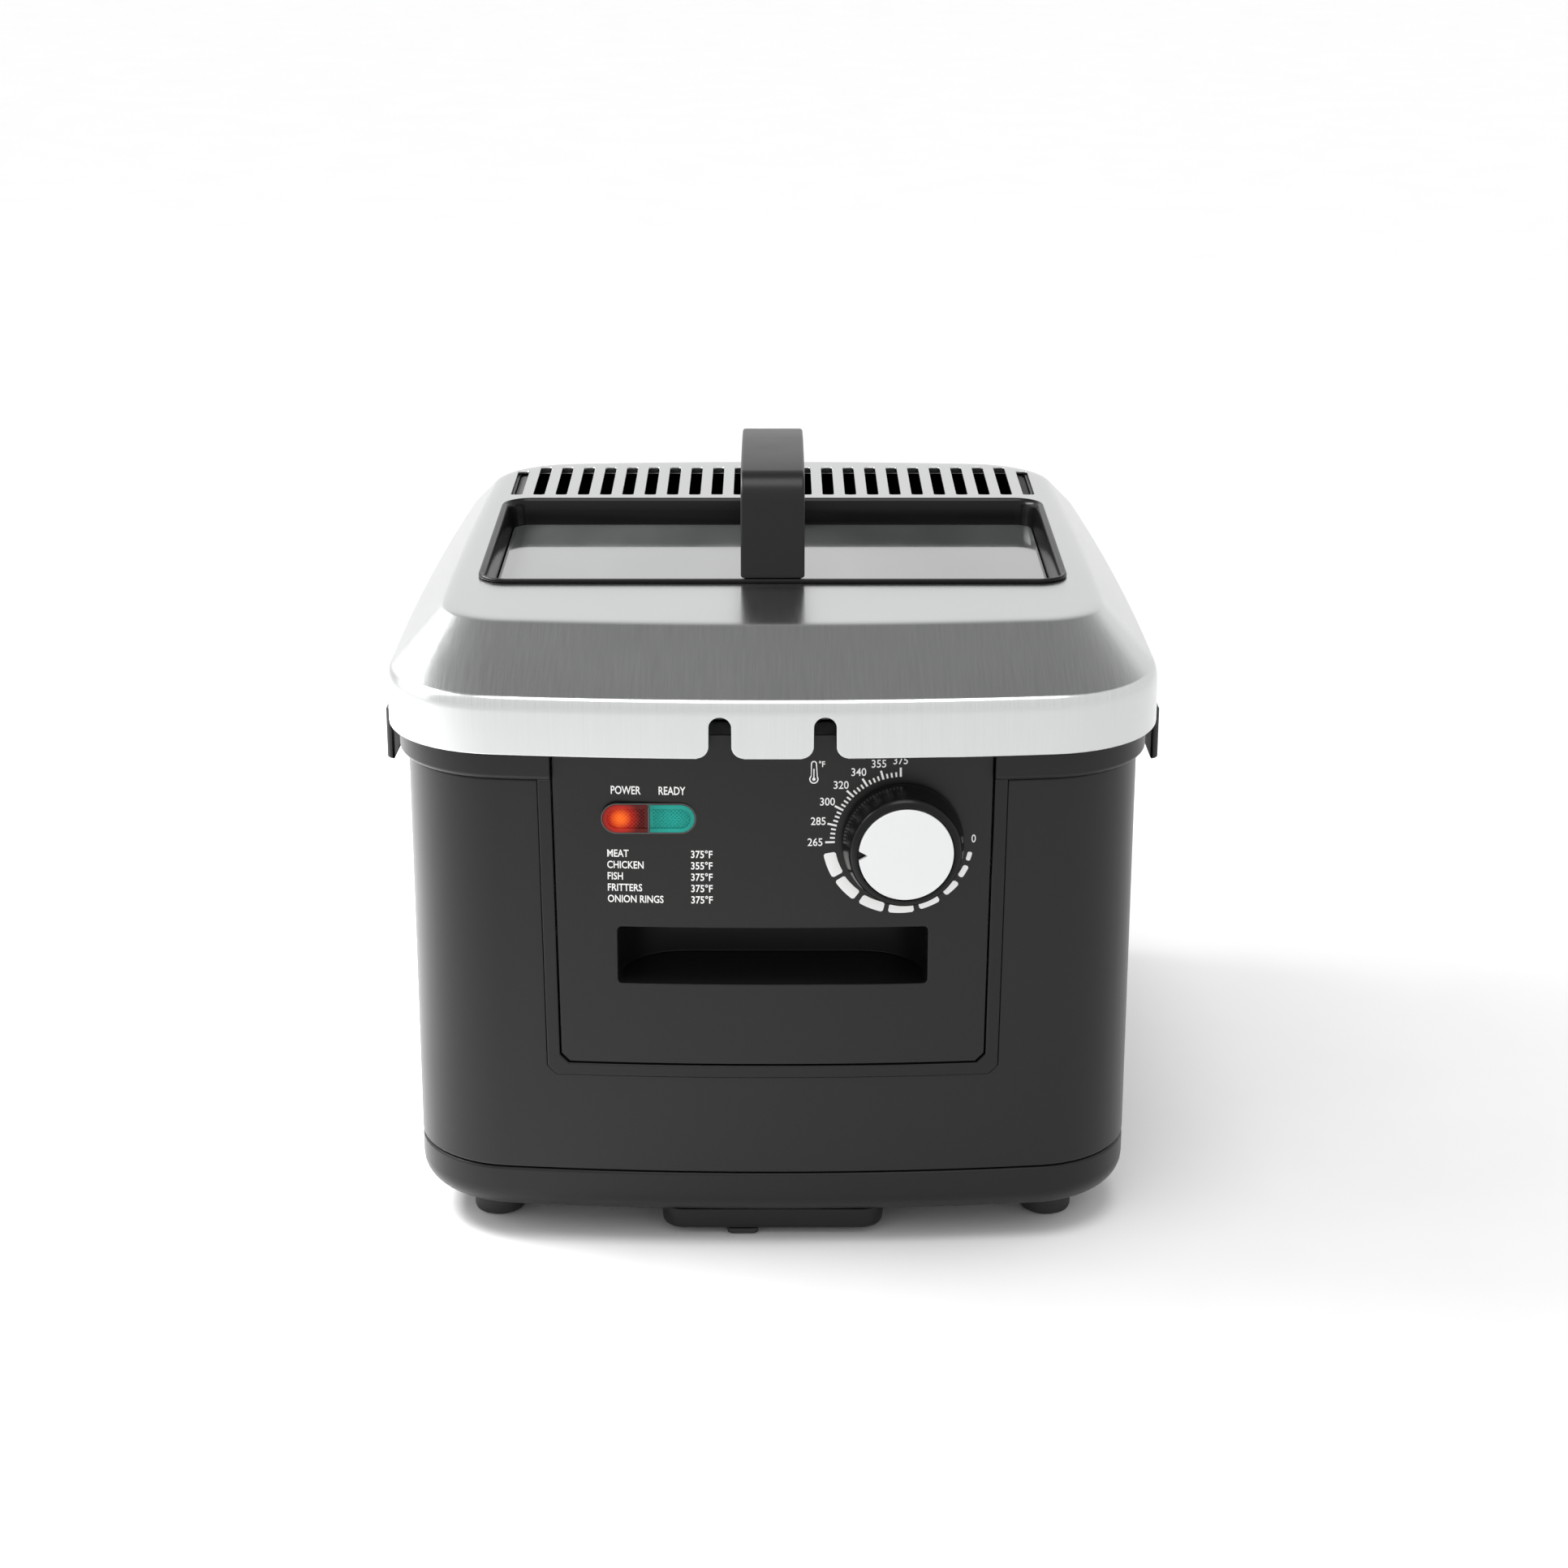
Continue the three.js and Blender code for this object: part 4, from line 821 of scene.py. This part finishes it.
def control_panel():
    thick, wall = 3, 2
    grip_low, grip_high, grip_half, depth, corner = 108, 130.5, 57.5, 34, 24
    skin = solid(along_y(panel_shape(0), front_face - 5, -140))
    combine(skin, prism(body_line(PROUD), 60, 220), "INTERSECT")
    cut(skin, prism(body_line(-thick), 50, 230))

    def pocket_plan(grow, start):
        back = front_face + depth + grow
        wide, round_off = grip_half + grow, corner + grow
        right = arc((wide - round_off, back - round_off), round_off, 0, TAU / 4, 10)
        left = arc((-wide + round_off, back - round_off), round_off, TAU / 4, TAU / 2, 10)
        return [(-wide, start), (wide, start), *right, (wide - round_off, back), *left,
                (-wide, back - round_off)]

    join(skin, prism(pocket_plan(wall, front_face + 2.2), grip_low - wall, grip_high + wall))
    pocket = solid(prism(pocket_plan(0, front_face - 5), grip_low, grip_high))
    mouth = rounded(grip_half, (grip_high - grip_low) / 2, 1.7, (0, middle((grip_low, grip_high))), 5)
    combine(pocket, along_y(mouth, front_face - 6, -110), "INTERSECT")
    cut(skin, pocket)
    cut(skin, along_y(disc((knob_x, knob_z), 4.2, 24), front_face - 5, -150))
    cut(skin, along_y(capsule(0.7), front_face - 5, -150))
    piece(skin, "control_panel", bevel=0.4)


def lamps():
    """The thin rim round both lamps, and two lenses with a moulded diamond pattern inside a plain edge."""
    (left, right), (near, far), _ = cad("lamp_bezel")
    rim = solid(along_y(capsule(0), near, near + 0.6))
    join(rim, along_y(capsule(1), near + 0.4, far))
    cut(rim, along_y(capsule(1.7), near - 5, far + 5), along_y(capsule(0.5), near - 5, near + 0.4))
    join(rim, block(lamp_x - 0.35, lamp_x + 0.35, near + 0.1, far, lamp_z - 4.6, lamp_z + 4.6))
    piece(rim, "lamp_bezel", bevel=0.1)
    for node, x0, x1 in (("power_lens", left, lamp_x - 0.45), ("ready_lens", lamp_x + 0.45, right)):
        tinted_piece = solid(along_y(capsule(0.6), near - 0.1, near + 0.36))
        join(tinted_piece, along_y(capsule(2.0), near + 0.2, cad(node)[1][1]))
        combine(tinted_piece, block(x0, x1, near - 5, far + 5, lamp_z - 9, lamp_z + 9), "INTERSECT")
        cut(tinted_piece, along_y(capsule(2.1), near - 5, near + 0.35))
        floor = solid(diamonds((x0 + x1) / 2, lamp_z, 10, near - 0.25, near + 0.75, 1.0))
        combine(floor, along_y(capsule(2.05), near - 5, far + 5), "INTERSECT")
        combine(floor, block(x0 + 1, x1 - 1, near - 5, near + 1.5, lamp_z - 9, lamp_z + 9), "INTERSECT")
        piece(join(tinted_piece, floor), node, bevel=0, crease=15)


def diamonds(x, z, reach, tip, root, cell=1.0):
    """A slab whose front is a lattice of small pyramids, turned by 45 degrees."""
    count = int(reach / cell)
    points, faces, index = [], [], {}

    def corner(u, v, y):
        key = (round(u * 2), round(v * 2), round(y, 4))
        if key not in index:
            index[key] = len(points)
            points.append((x + (u - v) * cell * 0.7071, y, z + (u + v) * cell * 0.7071))
        return index[key]

    for u in range(-count, count):
        for v in range(-count, count):
            base = [corner(u + a, v + b, root) for a, b in ((0, 0), (1, 0), (1, 1), (0, 1))]
            top = corner(u + 0.5, v + 0.5, tip)
            faces += [(base[k], base[(k + 1) % 4], top) for k in range(4)]
            faces.append(tuple(corner(u + a, v + b, root + 1) for a, b in ((0, 0), (0, 1), (1, 1), (1, 0))))
    for k in range(-count, count):
        for start, end in (((k, -count), (k + 1, -count)), ((count, k), (count, k + 1)),
                           ((k + 1, count), (k, count)), ((-count, k + 1), (-count, k))):
            faces.append((corner(*start, root), corner(*start, root + 1), corner(*end, root + 1),
                          corner(*end, root)))
    return points, faces


# ---------------------------------------------------------------- print on the panel

def inked(points):
    """A flat mark in (x, z), laid on the bowed face."""
    return loft([[(x, bowed(x) - depth, z) for x, z in points] for depth in INK])


def polar(radius, degrees):
    angle = math.radians(degrees)
    return dial["x"] + radius * math.cos(angle), dial["z"] + radius * math.sin(angle)


def tick(degrees, inner, outer, width):
    angle = math.radians(degrees)
    along, side = Vector((math.cos(angle), math.sin(angle))), Vector((-math.sin(angle), math.cos(angle)))
    centre = Vector((dial["x"], dial["z"]))
    corners = ((inner, -1), (outer, -1), (outer, 1), (inner, 1))
    return inked([tuple(centre + along * r + side * s * width / 2) for r, s in corners])


def warm_block(degrees, outside, length, thick):
    """One of the shrinking blocks between the lowest mark and zero."""
    inner, centre_line = outside - thick, outside - thick / 2
    half = math.degrees(length / 2 / centre_line)
    nip = min(0.6, thick / 4)
    nip_angle = math.degrees(nip / centre_line)
    steps = 6
    angles = [degrees - half + nip_angle + (2 * half - 2 * nip_angle) * i / steps for i in range(steps + 1)]
    outer = [polar(inner + thick, a) for a in angles]
    back = [polar(inner, a) for a in reversed(angles)]
    left = [polar(inner + thick - nip, degrees + half), polar(inner + nip, degrees + half)]
    right = [polar(inner + nip, degrees - half), polar(inner + thick - nip, degrees - half)]
    return inked(outer + left + back + right)


def words(text, x, z, size, align="CENTER", narrow=0.9, bold=0.013):
    """Plain lettering as a thin solid on the bowed face; z is the middle of its height."""
    data = bpy.data.curves.new("words", "FONT")
    data.body, data.size, data.align_x = text, size, align
    data.offset, data.extrude, data.resolution_u = bold * size, 0.06, 3
    source = bpy.data.objects.new("words", data)
    bpy.context.scene.collection.objects.link(source)
    mesh = bpy.data.meshes.new_from_object(source.evaluated_get(bpy.context.evaluated_depsgraph_get()))
    half_high = 0.36 * size
    points = []
    for vertex in mesh.vertices:
        across = x + vertex.co.x * narrow
        points.append((across, bowed(across) - PROUD - vertex.co.z, z + vertex.co.y - half_high))
    faces = [tuple(polygon.vertices) for polygon in mesh.polygons]
    bpy.data.objects.remove(source)
    bpy.data.meshes.remove(mesh)
    return points, faces


def thermometer(x, low, high):
    bulb, stem = 1.7, 1.1
    ring = arc((x, low + bulb), bulb, TAU * 0.36, TAU * 1.14, 18)
    crown = arc((x, high - stem), stem, 0, TAU / 2, 8) + [(x - stem, high - stem)]
    inner_ring = arc((x, low + bulb), bulb - 0.42, TAU * 0.37, TAU * 1.13, 18)
    inner_crown = arc((x, high - stem), stem - 0.4, 0, TAU / 2, 8) + [(x - stem + 0.4, high - stem)]
    outer, inner = ring + crown, inner_ring + inner_crown
    lines = ((outer, INK[0]), (inner, INK[0]), (inner, INK[1]), (outer, INK[1]))
    rings = [[(px, bowed(px) - depth, pz) for px, pz in line] for line, depth in lines]
    drop = inked(disc((x, low + bulb), 0.62, 14))
    column = inked([(x - 0.2, low + 2.2), (x + 0.2, low + 2.2), (x + 0.2, high - 3), (x - 0.2, high - 3)])
    return merged([loft(rings, closed=True), drop, column])


def panel_print():
    """Numbers and ticks of the dial, the lamps' names and the table of temperatures."""
    marks = []
    inner, number_line, block_line, first_angle = 24.4, 31.6, 29.0, 181.2
    for i, number in enumerate((265, 285, 300, 320, 340, 355, 375)):
        degrees = first_angle - 15 * i
        marks.append(tick(degrees, inner, inner + 3.5, 0.75))
        across, up = polar(number_line - 1.1 * abs(math.sin(math.radians(degrees))), degrees)
        marks.append(words(str(number), across, up + 0.25, 4.25, bold=0.006))
        if i < 6:
            marks += [tick(degrees - 15 * k / 4, inner, inner + 1.8, 0.66) for k in (1, 2, 3)]
    for i, degrees in enumerate((200, 223, 247, 270.5, 293, 314, 331, 344.5)):
        length, thick = min(9.2, 13.55 - 1.45 * i), 4.5 - 0.4 * i
        marks.append(warm_block(degrees, block_line - 0.045 * i * i, length, thick))
    marks.append(words("0", *polar(26.6, 0), 4.4, narrow=0.8, bold=0.006))
    marks.append(thermometer(15.0, 186.9, 195.6))
    marks.append(words("°F", 17.9, 194.4, 3.1))
    marks += [words("POWER", -53.7, 184.0, 4.4, narrow=0.72), words("READY", -36.8, 184.0, 4.4, narrow=0.72)]
    rows = (("MEAT", 375), ("CHICKEN", 355), ("FISH", 375), ("FRITTERS", 375), ("ONION RINGS", 375))
    for i, (food, degrees) in enumerate(rows):
        z = 159.5 - 4.45 * i
        marks.append(words(food, -60.9, z, 4.0, "LEFT", 0.79))
        marks.append(words(f"{degrees}°F", -22.0, z, 4.0, "RIGHT", 0.86))
    obj = solid(merged(marks))
    obj.name = "panel_print"
    obj.data.materials.append(ink)
    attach(obj, "control_unit")


# ---------------------------------------------------------------- knob

def knob():
    tilt = math.asin(knob_x / body["bow"])
    place = (Matrix.Translation((knob_x, bowed(knob_x), knob_z))
             @ Matrix.Rotation(tilt, 4, "Z") @ Matrix.Rotation(TAU / 4, 4, "X"))
    height, radius, face = 16.4, 22.4, 18.8
    shaft = 3.3
    profile = [(shaft, 0.5), (radius - 0.9, 0.5), (radius - 0.2, 0.9), (radius, 1.6), (radius - 0.1, 5.2)]
    profile += curve(profile[-1], (radius - 0.6, 8.6), (face + 1.75, height - 2.4), 8)
    profile += curve(profile[-1], (face + 1.45, height - 1.5), (face + 0.8, height - 1.0), 4)
    profile += [(face - 0.1, height - 0.45), (face - 0.4, height - 0.35), (face - 0.9, height - 0.4),
                (face - 1.15, height - 0.8), (face - 1.2, height - 2), (0, height - 2), (0, height - 4),
                (shaft, height - 4)]
    piece(moved(turned(profile, closed=True, sides=96), place), "knob_body", bevel=0, crease=28)
    cap_radius = face - 1.5
    cap = solid(moved(turned([(0, height - 1.7), (cap_radius, height - 1.7), (cap_radius, height - 0.25),
                              (cap_radius - 0.25, height), (0, height)], sides=96), place))
    pointer = [(-cap_radius - 2, -3), (-cap_radius + 3.3, 0), (-cap_radius - 2, 3)]
    cut(cap, moved(prism(pointer, height - 3, height + 2), place))
    piece(cap, "knob_cap", bevel=0.12)
    refined("thermostat_shaft", 0.2)


# ---------------------------------------------------------------- pot, element and wires

def pot():
    """Deep-drawn pot with rounded bends and a rolled flange."""
    bottom, rim_top = cad("oil_pot")[2]
    rim = rim_top - SHEET
    bends = [(22, 0), (14, 0.15), (9.5, 1.1), (6, 2.9), (3.4, 5.6), (2, 9), (1.1, 13), (0.6, 18), (0.35, 60)]
    outer = [(-inset, bottom + up) for inset, up in bends] + [(0, rim)]
    flange = [(3.9, rim), (4.4, rim + 0.3), (4.4, rim + 0.8), (3.9, rim_top), (-0.4, rim_top),
              (-0.9, rim_top - 0.3), (-SHEET, rim_top - SHEET)]
    inner = [(-inset - SHEET, bottom + up + (SHEET if up < 3 else 0.7)) for inset, up in reversed(bends)]
    piece(loft(stack(pot_line, outer + flange + inner)), "oil_pot", bevel=0)


def element_tubes():
    (_, x1), _, (z0, _) = cad("heating_element")
    radius, rear = 3.3, 118
    z, outer, inner, riser_x, riser_y = z0 + radius, x1 - radius, 38, 28, -98
    left = [(-riser_x, -126, 188), (-riser_x, -126, 212), (-riser_x, riser_y, 212), (-riser_x, riser_y, z),
            (-riser_x - 2, riser_y + 24, z), (-outer, riser_y + 30, z), (-outer, rear, z), (-inner, rear, z),
            (-inner, -35, z)]
    right = [(-x, y, height) for x, y, height in reversed(left)]
    wire_piece(rod(left + right, 16, radius, 16, 8), "heating_element")
    sensor_z, back, dial_z = z + 2 * radius + GAP, cad("thermostat")[1][1] + GAP, knob_z + 8
    route = [(inner, back, dial_z), (inner, -126.5, dial_z), (inner, -126.5, 213), (inner, riser_y + 2, 213),
             (inner, riser_y + 2, sensor_z), (inner, -50, sensor_z)]
    capillary = rod(route, 8, 1.1, 10)
    half = [(0, 0), (1.2, 0.3), (2.4, 1.2), (3, 3)]
    phial = turned(half + [(r, 92 - h) for r, h in reversed(half)], sides=28)
    lay = Matrix.Translation((inner, -56, sensor_z)) @ Matrix.Rotation(-TAU / 4, 4, "X")
    wire_piece(join(solid(capillary), moved(phial, lay)), "sensor_bulb")


def harness():
    x, z_inlet, low = middle(cad("inlet_socket")[0]), 56 - 11 - GAP, cad("base_tray")[2][0] + 7.5
    rear, dock_x, dock_y = 153.4, cad("docking_socket")[0][0] - GAP, -138
    route = [(x, rear, z_inlet), (x, rear, low), (x, -120, low), (x + 8, dock_y, low), (dock_x, dock_y, low)]
    wire_piece(rod(route, 7, 2.6), "mains_harness")


def woven_walls(rim, floor_z):
    """Two families of slanting wires that pass over and under each other, on walls that taper."""
    top_inset, foot_inset, wire, repeat = 2.5, 9.0, 0.55, 9.4
    top_ring, foot_ring = outline(basket_plan, -top_inset), outline(basket_plan, -foot_inset)
    lengths = [0.0]
    for a, b in zip(top_ring, top_ring[1:] + top_ring[:1]):
        lengths.append(lengths[-1] + math.dist(a, b))
    total = lengths[-1]
    count = round(total / repeat)
    height, rows, steps = rim - floor_z, 4, 6

    def on_wall(s, t, lift):
        s = s % total
        k = max(i for i, length in enumerate(lengths[:-1]) if length <= s)
        share = (s - lengths[k]) / (lengths[k + 1] - lengths[k])
        nxt = (k + 1) % len(top_ring)
        top = [a + (b - a) * share for a, b in zip(top_ring[k], top_ring[nxt])]
        foot = [a + (b - a) * share for a, b in zip(foot_ring[k], foot_ring[nxt])]
        dx, dy = top_ring[nxt][0] - top_ring[k][0], top_ring[nxt][1] - top_ring[k][1]
        size = math.hypot(dx, dy)
        out = (dy / size * lift, -dx / size * lift)
        x, y = [a + (b - a) * t + c for a, b, c in zip(top, foot, out)]
        return x, y, rim - height * t

    wires = []
    for lean in (-1, 1):
        for i in range(count):
            path = []
            for step in range(rows * steps + 1):
                t = step / (rows * steps)
                along = lean * rows / 2 * t
                lift = 0.6 * lean * math.cos(TAU / 2 * (step / steps + i))
                path.append(on_wall((i + 0.5 + along) * total / count, t, lift))
            wires.append(sweep(path, wire, 5))
    return wires


def woven_floor(z):
    """Slanting wires across the floor, cut to its outline."""
    edge, wire, repeat = outline(basket_plan, -12.0), 0.55, 9.4
    wires = []
    for lean in (-1, 1):
        direction = Vector((1, 0.62 * lean)).normalized()
        side = Vector((-direction.y, direction.x))
        for i in range(-20, 21):
            base_point = Vector((0, 27)) + side * i * repeat
            near, far = -1e9, 1e9
            for (ax, ay), (bx, by) in zip(edge, edge[1:] + edge[:1]):
                inward = Vector((-(by - ay), bx - ax))
                speed, room = inward.dot(direction), inward.dot(Vector((ax, ay)) - base_point)
                if abs(speed) < 1e-9:
                    continue
                if speed > 0:
                    near = max(near, room / speed)
                else:
                    far = min(far, room / speed)
            if far - near < 6:
                continue
            steps = max(2, int((far - near) / 5))
            path = []
            for step in range(steps + 1):
                along = near + (far - near) * step / steps
                point = base_point + direction * along
                lift = 0.5 * lean * math.cos(along * TAU / 2 / 8.4 + i * TAU / 2)
                path.append((point.x, point.y, z + lift))
            wires.append(sweep(path, wire, 5))
    return wires


def basket():
    low, high = cad("basket_mesh")[2]
    foot_line, low_line = outline(basket_plan, -9.0), outline(basket_plan, -12.0)
    rails = [sweep(level(foot_line, low + 4.2), 1.1, 8, closed=True),
             sweep(level(low_line, low + 1.2), 0.9, 8, closed=True)]
    cage = merged(woven_walls(high + 0.4, low + 3.4) + woven_floor(low + 1.0) + rails)
    wire_piece(cage, "basket_mesh")
    wire = (cad("basket_rim")[2][1] - cad("basket_rim")[2][0]) / 2
    rim_z = cad("basket_rim")[2][0] + wire
    wire_piece(sweep(level(outline(basket_plan, -wire), rim_z), wire, 16, closed=True), "basket_rim")
    for node in ("basket_runner_left", "basket_runner_right"):
        (x0, x1), (y0, y1), (z0, z1) = cad(node)
        x, radius = middle((x0, x1)), 2
        route = [(x, y0 + radius, z1), (x, y0 + radius, z0 + radius), (x, y1 - radius, z0 + radius),
                 (x, y1 - radius, z1)]
        wire_piece(rod(route, 5, radius), node)
    inner = basket_plan["back"] - 2 * wire - GAP - 1.8
    over, crest, thick = inner + 13, rim_z + 20, 1.7
    left = [(-14, inner - 4.5, cad("basket_rim")[2][0] - 59), (-14, inner, rim_z - 10), (-14, inner, crest),
            (-14, over, crest), (-14, over, rim_z + 10)]
    right = [(-x, y, z) for x, y, z in reversed(left)]
    wire_piece(rod(left + right, 5, thick), "basket_hook")
    refined("handle_bracket", 0.3)


def basket_handle():
    _, (tip, _), height = cad("basket_handle_wire")
    z, radius, joint = middle(height), 2.4, 4
    route = [(-19, tip, z), (-19, joint - 12, z), (-7, joint + 22, z), (-7, joint + 52, z)]
    left = solid(rod(route, 8, radius))
    join(left, rod([(-x, y, h) for x, y, h in route], 8, radius))
    join(left, block(-8, 8, joint + 40, joint + 50, z - 2, z + 2))
    piece(left, "basket_handle_wire", bevel=0, crease=40)
    (_, x1), (y0, y1), (z0, z1) = cad("basket_handle_grip")
    line = inset_box(x1, (y1 - y0) / 2, 9, (0, middle((y0, y1))))
    ends = [(3, z0), (1, z0 + 1), (0, z0 + 3), (0, z1 - 3), (1, z1 - 1), (3, z1)]
    grip = solid(loft(stack(line, ends)))
    cut(grip, block(-10.5, 10.5, joint, joint + 53, z - 3, z + 3))
    piece(grip, "basket_handle_grip", bevel=0.3)


# ---------------------------------------------------------------- the object

casing()
collar()
base()
feet()
skid()
side_handle(-1)
side_handle(1)
lid()
bezel()
pane()
handle()
control_panel()
lamps()
panel_print()
knob()
pot()
element_tubes()
harness()
basket()
basket_handle()

done = {node for obj in bpy.context.scene.objects for node in obj.get("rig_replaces", [])}
for node in sorted(set(frame["nodes"]) - done):
    refined(node)


# ---------------------------------------------------------------- studio

def studio():
    reach = 15000
    floor = solid(block(-reach, reach, -reach, reach, -40, -0.2))
    floor.name = "floor"
    floor.data.materials.append(surface("floor_paint", (0.88, 0.88, 0.88), 0.01, (0.55, 0.65), 300.0, 0.02))

    world = bpy.data.worlds.new("studio")
    bpy.context.scene.world = world
    world.use_nodes = True
    tree = world.node_tree
    # White all round, with one dark soft patch high up behind, which the lid's slope mirrors.
    towards = tree.nodes.new("ShaderNodeVectorMath")
    towards.operation = "DOT_PRODUCT"
    tree.links.new(add(tree, "TexCoord").outputs["Generated"], towards.inputs[0])
    towards.inputs[1].default_value = (0, 0.48, 0.877)
    white, edge, dim, dark = [(shade,) * 3 for shade in (1.0, 0.5, 0.28, 0.24)]
    sky = ramped(tree, towards.outputs["Value"], white, [(0.78, white), (0.84, edge), (0.91, dim)], dark)
    tree.links.new(sky, tree.nodes["Background"].inputs["Color"])
    tree.nodes["Background"].inputs["Strength"].default_value = 1.0

    def softbox(name, place, target, size, power):
        data = bpy.data.lights.new(name, "AREA")
        data.shape, data.size, data.size_y, data.energy = "RECTANGLE", size[0], size[1], power
        lamp = bpy.data.objects.new(name, data)
        lamp.location = place
        lamp.rotation_euler = (Vector(target) - Vector(place)).to_track_quat("-Z", "Y").to_euler()
        bpy.context.scene.collection.objects.link(lamp)

    softbox("left_softbox", (-1.5, 0.15, 0.7), (0, 0, 0.12), (1.3, 1.4), 5)
    softbox("left_glow", (-0.45, 0.1, 0.52), (-0.45, 0.1, 0), (0.25, 0.5), 8)
    overhead = bpy.data.objects.new("overhead", bpy.data.lights.new("overhead", "SUN"))
    overhead.data.energy, overhead.data.angle = 1.15, math.radians(34)
    overhead.rotation_euler = (math.radians(8), 0, 0)
    bpy.context.scene.collection.objects.link(overhead)

    camera = bpy.data.objects.new("camera", bpy.data.cameras.new("camera"))
    camera.data.sensor_width = 36
    camera.data.lens = 72.67
    camera.data.shift_x = 0.00725
    camera.location = (0, -1.250, 0.554)
    camera.rotation_euler = (math.radians(90 - 18.6), 0, 0)
    bpy.context.scene.collection.objects.link(camera)
    bpy.context.scene.camera = camera
    bpy.context.scene.view_settings.view_transform = "Standard"


studio()
